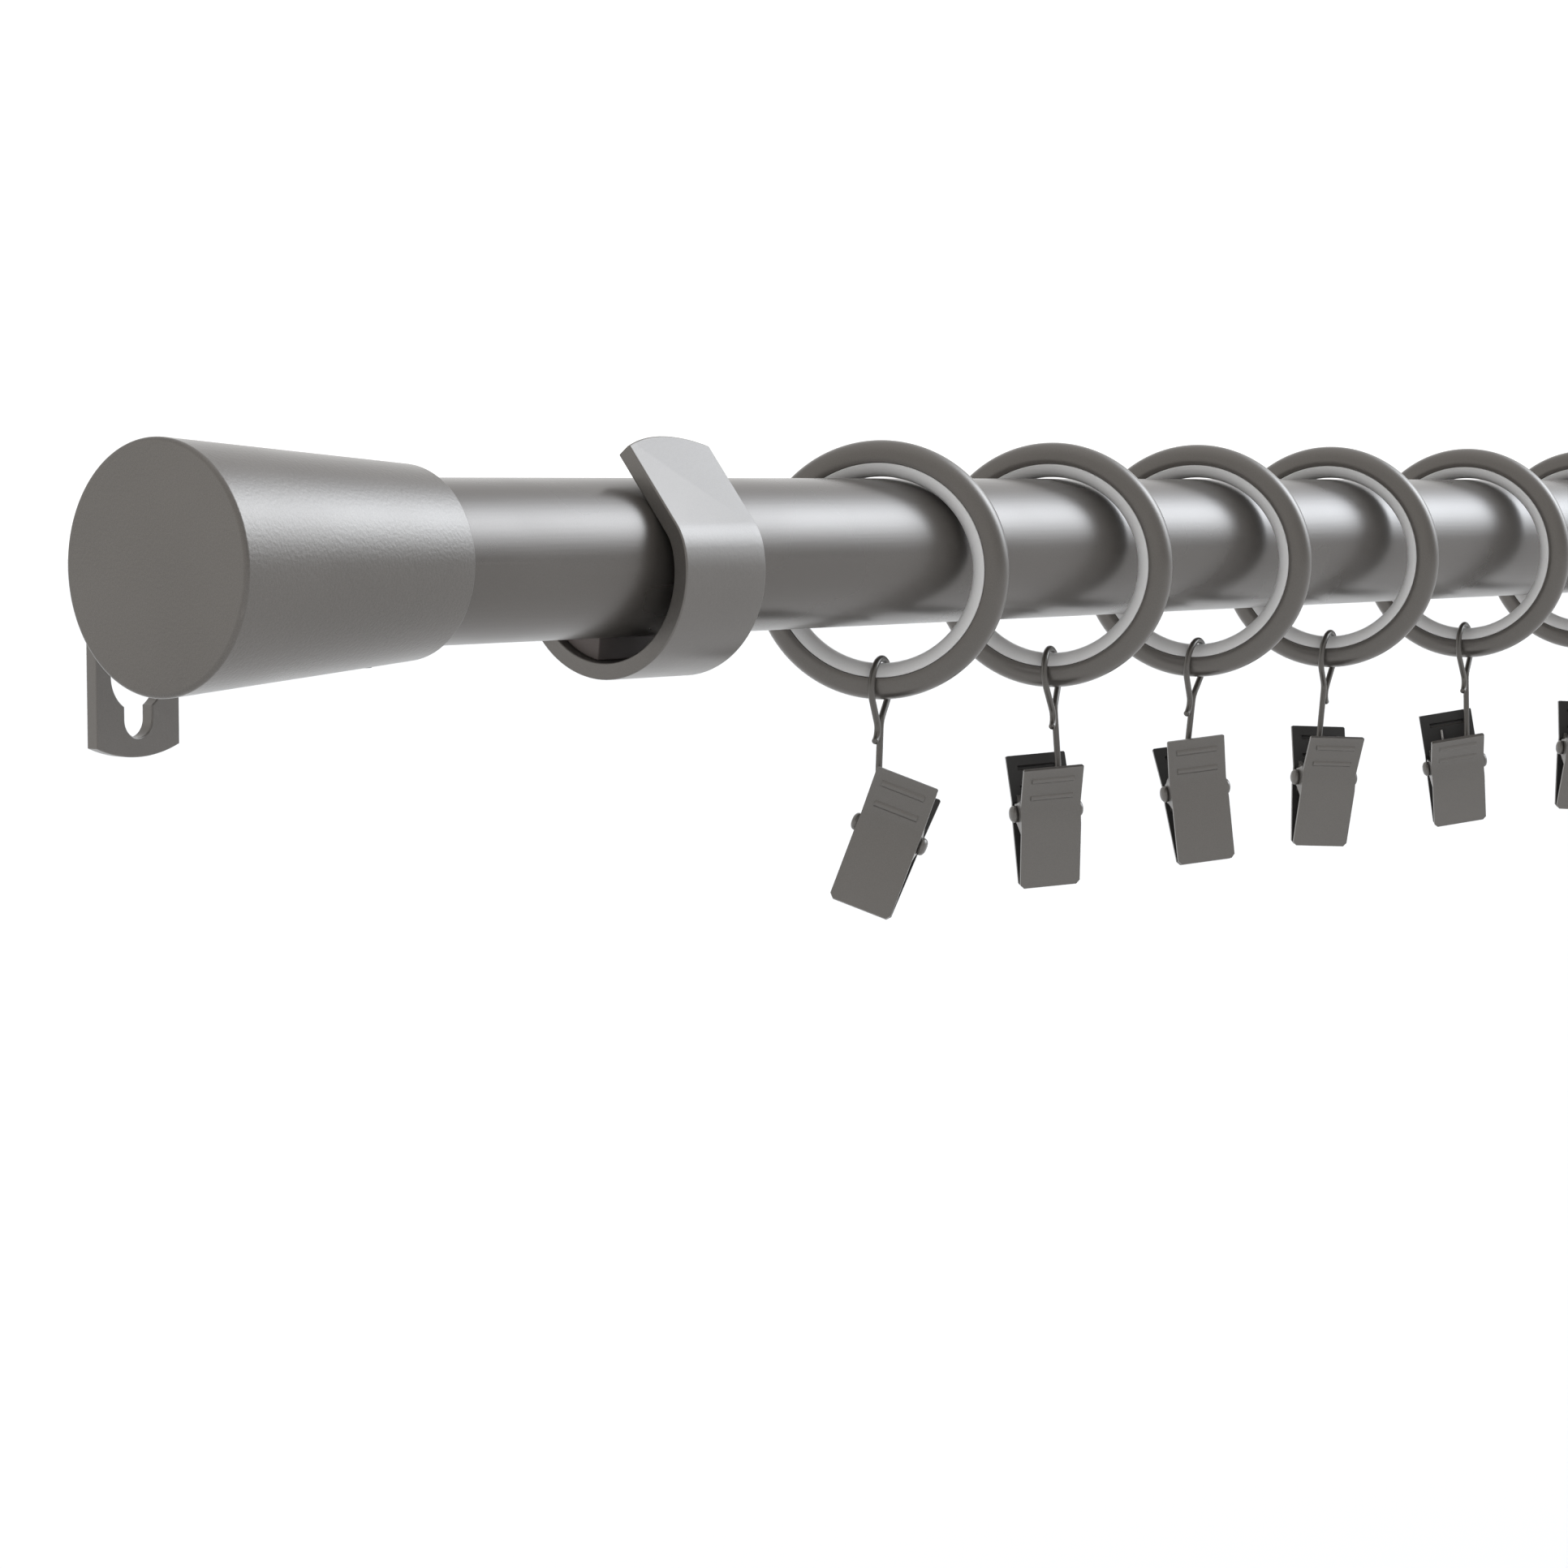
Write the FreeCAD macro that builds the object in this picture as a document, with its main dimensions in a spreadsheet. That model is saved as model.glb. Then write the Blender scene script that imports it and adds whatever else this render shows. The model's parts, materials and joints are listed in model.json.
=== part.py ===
import FreeCAD, Part
import os, math, Sketcher

# Curtain rod: a tapered-finial steel pole carried 134 mm off the wall by two
# strip-steel brackets, with six loose lined rings, each carrying a wire hook and
# a sprung clip.  Millimetres, +X along the pole, +Z up, the wall is the plane
# Y = 0 and the room is on the -Y side.  The origin is half way between the two
# round wall-screw holes, on the wall plane.

V = FreeCAD.Vector
R = FreeCAD.Rotation
PL = FreeCAD.Placement
doc = FreeCAD.newDocument("curtain_rod")

# ---------------------------------------------------------------- sizes
sheet = doc.addObject("Spreadsheet::Sheet", "Sizes")
SIZES = [
    # pole
    ("rod_radius", 14.0), ("rod_wall", 1.0), ("rod_length", 869.5),
    ("rod_y", -134.0), ("rod_z", 11.5), ("overall_length", 900.0),
    # finial: plain cone frustum, wide face outside
    ("finial_face_radius", 20.26), ("finial_neck_radius", 16.28), ("finial_length", 55.25),
    ("finial_bore_radius", 14.05), ("finial_bore_depth", 40.0),
    ("finial_core_radius", 13.0), ("finial_face_wall", 3.75),
    ("finial_face_round", 0.8), ("finial_neck_round", 0.35),
    ("grub_radius", 1.98), ("grub_hole_radius", 2.0), ("grub_length", 3.0), ("grub_from_face", 45.0),
    # brackets
    ("bracket_spacing", 667.0), ("strip_width", 22.0), ("strip_thick", 3.0), ("end_sag", 2.2),
    ("cradle_radius", 16.2), ("cradle_drop", 2.2), ("cradle_nose_radius", 8.0),
    ("lip_gap", 14.02), ("lip_angle", 51.9), ("lip_reach", 13.9),
    ("bend_inner", 3.0), ("bend_drop", 4.5), ("tail_reach", 60.0),
    ("wall_leg_low", -29.7), ("keyhole_slot_radius", 3.6), ("keyhole_head_radius", 7.0),
    ("keyhole_head_z", -13.5), ("keyhole_slot_z", -22.2), ("wall_hole_radius", 2.5),
    ("arm_near_end", 23.6), ("clamp_y", 45.0), ("clamp_hole_radius", 2.65),
    ("arm_slot_half", 12.0),
    ("pad_width", 18.0), ("pad_low_angle", -80.0), ("pad_high_angle", -18.0),
    # rings
    ("ring_radius", 21.3), ("ring_wire_radius", 3.5), ("ring_drop", 3.5),
    ("liner_seam", 0.85), ("liner_gap", 0.01),
    # hook
    ("hook_wire_radius", 0.65), ("hook_loop_radius", 5.1), ("hook_loop_drop", 0.75),
    ("hook_shank_x", 0.75), ("hook_eye_radius", 1.8), ("hook_length", 28.6),
    # clip
    ("clip_width", 12.5), ("clip_sheet", 0.8), ("clip_top", 10.5), ("clip_low", -15.5),
    ("clip_flare", 7.3), ("clip_waist", 3.45), ("clip_nip", 0.55), ("clip_ear_radius", 2.1),
    ("pin_radius", 0.8), ("pin_hole_radius", 0.83), ("pin_head_radius", 1.75), ("pin_length", 15.4),
    ("spring_radius", 1.6), ("spring_wire_radius", 0.3), ("spring_pitch", 0.62),
]
S = {}
for row, (alias, value) in enumerate(SIZES, 1):
    cell = "A%d" % row
    sheet.set(cell, repr(value))
    sheet.setAlias(cell, alias)
    S[alias] = value
doc.recompute()

# ring x measured from the middle of the pole, ring turn, hook heading, hook
# tilt, clip heading, clip tilt, clip lean, where the hook's eye sits on the
# pin, and whether the hook is turned end for end
RINGS = [
    (-263.0, 27.5, 17.0, 2.0, 29.0, 20.5, 14.0, 2.6, False),
    (-205.0, 23.0, 18.6, -4.0, 49.2, -4.5, -7.2, -3.1, False),
    (-150.0, 21.0, 11.7, 6.1, 46.6, -6.8, 10.3, 2.8, False),
    (-94.0, 17.5, 13.5, 5.0, 48.2, 2.2, -6.0, 2.0, True),
    (-30.0, 15.6, 12.0, -1.5, 38.0, -9.5, -22.0, -3.0, False),
    (32.0, 12.8, 14.0, 0.0, 44.0, 3.0, -8.0, 1.0, False),
]

# ---------------------------------------------------------------- helpers

def u(deg):
    a = math.radians(deg)
    return (math.cos(a), math.sin(a))


def new_body(label):
    body = doc.addObject("PartDesign::Body", label)
    body.Label = label
    return body


def plane(body, role):
    return [f for f in body.Origin.OriginFeatures if f.Role == role][0]


def sketch(body, role, name, offset=None):
    sk = body.newObject("Sketcher::SketchObject", name)
    sk.AttachmentSupport = [(plane(body, role), "")]
    sk.MapMode = "FlatFace"
    if offset is not None:
        sk.AttachmentOffset = offset
    return sk


def circle(sk, x, y, alias, name):
    g = sk.addGeometry(Part.Circle(V(x, y, 0), V(0, 0, 1), S[alias]), False)
    c = sk.addConstraint(Sketcher.Constraint("Radius", g, S[alias]))
    sk.renameConstraint(c, name)
    sk.setExpression("Constraints." + name, "Sizes." + alias)
    return g


def plain_circle(sk, x, y, r):
    return sk.addGeometry(Part.Circle(V(x, y, 0), V(0, 0, 1), r), False)


def arc_of(cx, cy, r, a0, a1):
    # from angle a0 to a1, clockwise when a1 < a0
    lo, hi = (a0, a1) if a1 > a0 else (a1, a0)
    return Part.ArcOfCircle(Part.Circle(V(cx, cy, 0), V(0, 0, 1), r), math.radians(lo), math.radians(hi))


def chain(sk, segs, closed):
    # segs: ("L", p, q) or ("A", cx, cy, r, a0, a1); ends are tied together
    ends = []
    for s in segs:
        if s[0] == "L":
            g = sk.addGeometry(Part.LineSegment(V(s[1][0], s[1][1], 0), V(s[2][0], s[2][1], 0)), False)
            ends.append((g, 1, 2))
        else:
            g = sk.addGeometry(arc_of(*s[1:]), False)
            ends.append((g, 1, 2) if s[5] > s[4] else (g, 2, 1))
    for i in range(len(ends) - (0 if closed else 1)):
        a, b = ends[i], ends[(i + 1) % len(ends)]
        sk.addConstraint(Sketcher.Constraint("Coincident", a[0], a[2], b[0], b[1]))
    return ends


def polygon(sk, pts):
    return chain(sk, [("L", pts[i], pts[(i + 1) % len(pts)]) for i in range(len(pts))], True)


def pad(body, sk, name, length, alias=None, both=True, reverse=False):
    f = body.newObject("PartDesign::Pad", name)
    f.Profile = sk
    f.Length = length
    if alias:
        f.setExpression("Length", "Sizes." + alias)
    f.Midplane = both
    f.Reversed = reverse
    sk.Visibility = False
    return f


def pocket(body, sk, name, length, both=True, reverse=False):
    before = body.Shape.Volume
    f = body.newObject("PartDesign::Pocket", name)
    f.Profile = sk
    f.Length = length
    f.Midplane = both
    f.Reversed = reverse
    doc.recompute()
    if body.Shape.Volume >= before - 1e-4:
        raise RuntimeError("pocket %s of %s cuts nothing" % (name, body.Label))
    return f


def rounded(sk, pts, radii):
    # closed outline with some corners rounded by arcs tangent to both sides
    n = len(pts)
    cut = {}
    for i, r in radii.items():
        p, a, b = pts[i], pts[i - 1], pts[(i + 1) % n]
        da, db = math.hypot(a[0] - p[0], a[1] - p[1]), math.hypot(b[0] - p[0], b[1] - p[1])
        ua = ((a[0] - p[0]) / da, (a[1] - p[1]) / da)
        ub = ((b[0] - p[0]) / db, (b[1] - p[1]) / db)
        half = math.acos(ua[0] * ub[0] + ua[1] * ub[1]) / 2
        back = r / math.tan(half)
        bis = (ua[0] + ub[0], ua[1] + ub[1])
        m = math.hypot(*bis)
        c = (p[0] + bis[0] / m * r / math.sin(half), p[1] + bis[1] / m * r / math.sin(half))
        t1 = (p[0] + ua[0] * back, p[1] + ua[1] * back)
        t2 = (p[0] + ub[0] * back, p[1] + ub[1] * back)
        a1 = math.degrees(math.atan2(t1[1] - c[1], t1[0] - c[0]))
        a2 = math.degrees(math.atan2(t2[1] - c[1], t2[0] - c[0]))
        while a2 - a1 > 180:
            a2 -= 360
        while a2 - a1 < -180:
            a2 += 360
        cut[i] = (t1, t2, ("A", c[0], c[1], r, a1, a2))
    segs = []
    for i in range(n):
        j = (i + 1) % n
        start = cut[i][1] if i in cut else pts[i]
        end = cut[j][0] if j in cut else pts[j]
        segs.append(("L", start, end))
        if j in cut:
            segs.append(cut[j][2])
    return chain(sk, segs, True)


def strip_outline(points, thick):
    # closed outline of a bent strip drawn from its centre line, mitred corners
    left, right = [], []
    n = len(points)
    for i, p in enumerate(points):
        dirs = []
        if i > 0:
            a = points[i - 1]
            d = math.hypot(p[0] - a[0], p[1] - a[1])
            dirs.append(((p[0] - a[0]) / d, (p[1] - a[1]) / d))
        if i < n - 1:
            b = points[i + 1]
            d = math.hypot(b[0] - p[0], b[1] - p[1])
            dirs.append(((b[0] - p[0]) / d, (b[1] - p[1]) / d))
        nx = sum(-d[1] for d in dirs) / len(dirs)
        ny = sum(d[0] for d in dirs) / len(dirs)
        m = nx * nx + ny * ny
        nx, ny = nx / m, ny / m
        left.append((p[0] + nx * thick / 2, p[1] + ny * thick / 2))
        right.append((p[0] - nx * thick / 2, p[1] - ny * thick / 2))
    return left + right[::-1]


def end_arc(sag, width):
    return (width * width / 4 + sag * sag) / (2 * sag)


def convex_end(sk, tip, side, width, beyond):
    # region past a convex strip end: the strip runs along sketch y and ends at tip
    rad = end_arc(S["end_sag"], width)
    c = tip - side * rad
    half = math.degrees(math.asin((width / 2 + 1.0) / rad))
    x = rad * math.sin(math.radians(half))
    y = c + side * rad * math.cos(math.radians(half))
    far = tip + side * beyond
    if side > 0:
        chain(sk, [("A", 0, c, rad, 90 + half, 90 - half), ("L", (x, y), (x, far)),
                   ("L", (x, far), (-x, far)), ("L", (-x, far), (-x, y))], True)
    else:
        chain(sk, [("A", 0, c, rad, -90 - half, -90 + half), ("L", (x, y), (x, far)),
                   ("L", (x, far), (-x, far)), ("L", (-x, far), (-x, y))], True)


# ---------------------------------------------------------------- pole
YR, ZR = S["rod_y"], S["rod_z"]
HALF = S["overall_length"] / 2

rod = new_body("rod_tube")
sk = sketch(rod, "YZ_Plane", "rod_section")
g = circle(sk, 0, 0, "rod_radius", "outer")
sk.addConstraint(Sketcher.Constraint("Coincident", g, 3, -1, 1))
g = sk.addGeometry(Part.Circle(V(0, 0, 0), V(0, 0, 1), S["rod_radius"] - S["rod_wall"]), False)
sk.addConstraint(Sketcher.Constraint("Coincident", g, 3, -1, 1))
c = sk.addConstraint(Sketcher.Constraint("Radius", g, S["rod_radius"] - S["rod_wall"]))
sk.renameConstraint(c, "inner")
sk.setExpression("Constraints.inner", "Sizes.rod_radius - Sizes.rod_wall")
pad(rod, sk, "rod_run", S["rod_length"], "rod_length")
rod.Placement = PL(V(0, YR, ZR), R())


def finial(label, side):
    body = new_body(label)
    f, n, ln = S["finial_face_radius"], S["finial_neck_radius"], S["finial_length"]
    b, bd, cr, fw = S["finial_bore_radius"], S["finial_bore_depth"], S["finial_core_radius"], S["finial_face_wall"]
    sk = sketch(body, "XY_Plane", label + "_profile")
    pts = [(0, 0), (0, f), (ln, n), (ln, b), (ln - bd, b), (ln - bd, cr), (fw, cr), (fw, 0)]
    rounded(sk, pts, {1: S["finial_face_round"], 2: S["finial_neck_round"]})
    rev = body.newObject("PartDesign::Revolution", label + "_turned")
    rev.Profile = sk
    rev.ReferenceAxis = ([x for x in body.Origin.OriginFeatures if x.Role == "X_Axis"][0], [""])
    rev.Angle = 360
    doc.recompute()
    sk = sketch(body, "XY_Plane", label + "_grub_hole")
    circle(sk, S["grub_from_face"], 0, "grub_hole_radius", "grub_hole")
    pocket(body, sk, label + "_grub_pocket", 30.0, both=False)
    body.Placement = PL(V(-HALF if side < 0 else HALF, YR, ZR), R(V(0, 0, 1), 0 if side < 0 else 180))
    return body


def grub(label, side):
    body = new_body(label)
    r, ln = S["grub_radius"], S["grub_length"]
    sk = sketch(body, "XZ_Plane", label + "_profile")
    polygon(sk, [(0, 0), (r - 0.2, 0), (r, 0.2), (r, ln - 0.5), (r - 0.5, ln), (0, ln)])
    rev = body.newObject("PartDesign::Revolution", label + "_turned")
    rev.Profile = sk
    rev.ReferenceAxis = ([q for q in body.Origin.OriginFeatures if q.Role == "Z_Axis"][0], [""])
    rev.Angle = 360
    doc.recompute()
    sk = sketch(body, "XY_Plane", label + "_hex")
    polygon(sk, [(1.16 * u(60 * k)[0], 1.16 * u(60 * k)[1]) for k in range(6)])
    pocket(body, sk, label + "_socket", 1.7, both=False, reverse=True)
    x = side * (HALF - S["grub_from_face"])
    body.Placement = PL(V(x, YR, ZR - S["rod_radius"] - 0.02 - S["grub_length"]), R())
    return body


finial("finial_left", -1)
finial("finial_right", 1)
grub("finial_screw_left", -1)
grub("finial_screw_right", 1)

# ---------------------------------------------------------------- brackets
T = S["strip_thick"]
W = S["strip_width"]
CR, CD = S["cradle_radius"], S["cradle_drop"]
BI = S["bend_inner"]
BO = BI + T
lip_n = u(90 + S["lip_angle"])
lip_d = u(S["lip_angle"])
rn = S["cradle_nose_radius"]
# the small nose arc is tangent to the big cradle arc and to the straight lip
cosd = (S["lip_gap"] + CD * lip_n[1] - rn) / (CR - rn)
nose_a = 90 + S["lip_angle"] + math.degrees(math.acos(cosd))
NC = ((CR - rn) * u(nose_a)[0], -CD + (CR - rn) * u(nose_a)[1])
lean_a = 90 + S["lip_angle"]
# the outward bend to the tail is tangent to the cradle arc
bend_a = -math.degrees(math.asin((S["bend_drop"] - CD) / (CR + T + BI)))
BC = ((CR + T + BI) * u(bend_a)[0], -CD + (CR + T + BI) * u(bend_a)[1])
TAIL_LOW = BC[1] + BI
TAIL_TOP = TAIL_LOW + T
ARM_TOP = TAIL_LOW
ARM_LOW = ARM_TOP - T


def lip_point(along, off):
    return (lip_n[0] * off + lip_d[0] * along, lip_n[1] * off + lip_d[1] * along)


def break_edges(body, label):
    # the two cut faces of the strip have their edges broken all round
    base = body.Tip
    faces = ["Face%d" % i for i, f in enumerate(base.Shape.Faces, 1)
             if abs(abs(f.CenterOfMass.x) - W / 2) < 1e-4]
    if len(faces) != 2:
        raise RuntimeError("side faces of " + label)
    ch = body.newObject("PartDesign::Chamfer", label + "_edge_break")
    ch.Base = (base, faces)
    ch.Size = 0.35
    doc.recompute()
    if "Invalid" in ch.State or ch.Shape.isNull() or not ch.Shape.isValid():
        raise RuntimeError("chamfer of " + label)


def cradle(label, x0):
    body = new_body(label)
    sk = sketch(body, "YZ_Plane", label + "_section")
    reach = S["lip_reach"]
    p_in = (NC[0] + rn * lip_n[0], NC[1] + rn * lip_n[1])
    p_out = (NC[0] + (rn + T) * lip_n[0], NC[1] + (rn + T) * lip_n[1])
    e_in = lip_point(reach, S["lip_gap"])
    e_out = lip_point(reach, S["lip_gap"] + T)
    segs = [
        ("L", e_in, p_in),
        ("A", NC[0], NC[1], rn, lean_a, nose_a),
        ("A", 0, -CD, CR, nose_a, 360 + bend_a),
        ("A", BC[0], BC[1], BO, 180 + bend_a, 90),
        ("L", (BC[0], TAIL_TOP), (S["tail_reach"], TAIL_TOP)),
        ("L", (S["tail_reach"], TAIL_TOP), (S["tail_reach"], TAIL_LOW)),
        ("L", (S["tail_reach"], TAIL_LOW), (BC[0], TAIL_LOW)),
        ("A", BC[0], BC[1], BI, 90, 180 + bend_a),
        ("A", 0, -CD, CR + T, 360 + bend_a, nose_a),
        ("A", NC[0], NC[1], rn + T, nose_a, lean_a),
        ("L", p_out, e_out),
        ("L", e_out, e_in),
    ]
    chain(sk, segs, True)
    pad(body, sk, label + "_strip", W, "strip_width")
    doc.recompute()
    break_edges(body, label)
    # rounded free end of the lip
    mid = S["lip_gap"] + T / 2
    off = PL(V(0, lip_n[0] * mid, lip_n[1] * mid), R(V(1, 0, 0), S["lip_angle"]))
    sk = sketch(body, "XY_Plane", label + "_lip_end", off)
    convex_end(sk, reach, 1, W, 4.0)
    pocket(body, sk, label + "_lip_round", T + 1.6)
    # rounded tail end
    sk = sketch(body, "XY_Plane", label + "_tail_end")
    convex_end(sk, S["tail_reach"], 1, W, 4.0)
    pocket(body, sk, label + "_tail_round", 20.0)
    sk = sketch(body, "XY_Plane", label + "_clamp_hole")
    circle(sk, 0, S["clamp_y"], "clamp_hole_radius", "clamp_hole")
    pocket(body, sk, label + "_clamp_pocket", 20.0)
    body.Placement = PL(V(x0, YR, ZR), R())
    return body


def cradle_pad(label, x0):
    body = new_body(label)
    sk = sketch(body, "YZ_Plane", label + "_section")
    a0, a1 = S["pad_low_angle"], S["pad_high_angle"]
    ri, ro = S["rod_radius"] + 0.01, CR - 0.01
    pi0 = (ri * u(a0)[0], ri * u(a0)[1])
    pi1 = (ri * u(a1)[0], ri * u(a1)[1])
    po0 = (ro * u(a0)[0], ro * u(a0)[1] - CD)
    po1 = (ro * u(a1)[0], ro * u(a1)[1] - CD)
    chain(sk, [("A", 0, 0, ri, a0, a1), ("L", pi1, po1), ("A", 0, -CD, ro, a1, a0), ("L", po0, pi0)], True)
    pad(body, sk, label + "_block", S["pad_width"], "pad_width")
    doc.recompute()
    body.Placement = PL(V(x0, YR, ZR), R())
    return body


def wall_bracket(label, x0):
    body = new_body(label)
    top, low = ZR + ARM_TOP, ZR + ARM_LOW
    near = YR + S["arm_near_end"]
    zl = S["wall_leg_low"]
    sk = sketch(body, "YZ_Plane", label + "_section")
    chain(sk, [
        ("L", (0, zl), (0, top - BO)),
        ("A", -BO, top - BO, BO, 0, 90),
        ("L", (-BO, top), (near, top)),
        ("L", (near, top), (near, low)),
        ("L", (near, low), (-BO, low)),
        ("A", -BO, top - BO, BI, 90, 0),
        ("L", (-T, top - BO), (-T, zl)),
        ("L", (-T, zl), (0, zl)),
    ], True)
    pad(body, sk, label + "_strip", W, "strip_width")
    doc.recompute()
    break_edges(body, label)
    sk = sketch(body, "XZ_Plane", label + "_foot")
    convex_end(sk, zl, -1, W, 4.0)
    pocket(body, sk, label + "_foot_round", 20.0)
    sk = sketch(body, "XY_Plane", label + "_near_end")
    convex_end(sk, near, -1, W, 4.0)
    pocket(body, sk, label + "_near_round", 60.0)
    # keyhole: the screw head goes through the wide circle, the shank up the slot
    rs, rh = S["keyhole_slot_radius"], S["keyhole_head_radius"]
    zh, zs = S["keyhole_head_z"], S["keyhole_slot_z"]
    a = math.degrees(math.asin(rs / rh))
    ye = zh - rh * math.cos(math.radians(a))
    sk = sketch(body, "XZ_Plane", label + "_keyhole")
    chain(sk, [
        ("A", 0, zh, rh, -90 + a, 270 - a),
        ("L", (-rs, ye), (-rs, zs)),
        ("A", 0, zs, rs, -180, 0),
        ("L", (rs, zs), (rs, ye)),
    ], True)
    pocket(body, sk, label + "_keyhole_cut", 10.0)
    sk = sketch(body, "XZ_Plane", label + "_screw_hole")
    circle(sk, 0, 0, "wall_hole_radius", "wall_hole")
    pocket(body, sk, label + "_screw_cut", 10.0)
    # slot for setting how far the pole stands off
    cy, h, rr = YR + S["clamp_y"], S["arm_slot_half"], S["clamp_hole_radius"]
    sk = sketch(body, "XY_Plane", label + "_arm_slot")
    chain(sk, [
        ("A", 0, cy + h, rr, 0, 180), ("L", (-rr, cy + h), (-rr, cy - h)),
        ("A", 0, cy - h, rr, 180, 360), ("L", (rr, cy - h), (rr, cy + h)),
    ], True)
    pocket(body, sk, label + "_arm_slot_cut", 60.0)
    body.Placement = PL(V(x0, 0, 0), R())
    return body


def clamp_screw(label, x0):
    # pan head machine screw with a cross recess, head on the tail, pointing down
    body = new_body(label)
    sk = sketch(body, "XZ_Plane", label + "_profile")
    chain(sk, [
        ("L", (0, 3.2), (2.6, 3.2)),
        ("A", 2.6, 1.1, 2.1, 90, 0),
        ("L", (4.7, 1.1), (4.7, 0.0)),
        ("L", (4.7, 0.0), (2.48, 0.0)),
        ("L", (2.48, 0.0), (2.48, -11.4)),
        ("L", (2.48, -11.4), (1.9, -12.0)),
        ("L", (1.9, -12.0), (0, -12.0)),
        ("L", (0, -12.0), (0, 3.2)),
    ], True)
    rev = body.newObject("PartDesign::Revolution", label + "_turned")
    rev.Profile = sk
    rev.ReferenceAxis = ([x for x in body.Origin.OriginFeatures if x.Role == "Z_Axis"][0], [""])
    rev.Angle = 360
    doc.recompute()
    sk = sketch(body, "XY_Plane", label + "_cross", PL(V(0, 0, 3.2), R()))
    a, b = 0.55, 2.3
    polygon(sk, [(a, a), (b, a), (b, -a), (a, -a), (a, -b), (-a, -b), (-a, -a), (-b, -a), (-b, a), (-a, a), (-a, b), (a, b)])
    pocket(body, sk, label + "_recess", 1.7, both=False)
    body.Placement = PL(V(x0, YR + S["clamp_y"], ZR + TAIL_TOP), R(V(0, 0, 1), 20))
    return body


def clamp_nut(label, x0):
    body = new_body(label)
    sk = sketch(body, "XY_Plane", label + "_hexagon")
    rc = 4.0 / math.cos(math.radians(30))
    polygon(sk, [(rc * u(60 * k)[0], rc * u(60 * k)[1]) for k in range(6)])
    plain_circle(sk, 0, 0, 2.5)
    pad(body, sk, label + "_stock", 4.0, both=False, reverse=True)
    doc.recompute()
    # corner chamfer turned on both faces
    sk = sketch(body, "XZ_Plane", label + "_corner")
    polygon(sk, [(4.0, 0.4), (5.2, 0.4), (5.2, -0.75)])
    polygon(sk, [(4.0, -4.4), (5.2, -3.25), (5.2, -4.4)])
    gr = body.newObject("PartDesign::Groove", label + "_corners")
    gr.Profile = sk
    gr.ReferenceAxis = ([x for x in body.Origin.OriginFeatures if x.Role == "Z_Axis"][0], [""])
    gr.Angle = 360
    doc.recompute()
    body.Placement = PL(V(x0, YR + S["clamp_y"], ZR + ARM_LOW), R(V(0, 0, 1), 12))
    return body


for side, x0 in (("left", -S["bracket_spacing"] / 2), ("right", S["bracket_spacing"] / 2)):
    wall_bracket("wall_bracket_" + side, x0)
    cradle("cradle_" + side, x0)
    cradle_pad("cradle_pad_" + side, x0)
    clamp_screw("clamp_screw_" + side, x0)
    clamp_nut("clamp_nut_" + side, x0)

# ---------------------------------------------------------------- rings, hooks, clips
EXTRA = []
RR = S["ring_radius"]
RZ = ZR - S["ring_drop"]


def inner_tangent(c1, r1, c2, r2, pick):
    # line running down between two circles, the first on its east side and the
    # second on its west side (pick +1), or the other way round (pick -1)
    dx, dy = c1[0] - c2[0], c1[1] - c2[1]
    d = math.hypot(dx, dy)
    base = math.atan2(pick * dy, pick * dx)
    turn = math.acos((r1 + r2) / d)
    for s in (1, -1):
        e = (math.cos(base + s * turn), math.sin(base + s * turn))
        if e[0] > 0.3:
            break
    p1 = (c1[0] - pick * r1 * e[0], c1[1] - pick * r1 * e[1])
    p2 = (c2[0] + pick * r2 * e[0], c2[1] + pick * r2 * e[1])
    return p1, p2


def ang(c, p):
    return math.degrees(math.atan2(p[1] - c[1], p[0] - c[0]))


def pipe(body, spine, name, start, direction, radius_alias):
    # round wire swept along the spine, its section square to the spine's start
    turn = math.degrees(math.atan2(direction[0], direction[1]))
    off = PL(V(start[0], 0, start[1]), R(V(0, 1, 0), turn))
    base = getattr(spine, "yaw", None)
    sec = sketch(body, "XY_Plane", name + "_wire", off)
    circle(sec, 0, 0, radius_alias, "wire")
    f = body.newObject("PartDesign::AdditivePipe", name)
    f.Profile = sec
    f.Spine = spine
    f.Mode = "Frenet"
    sec.Visibility = False
    return f


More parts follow.
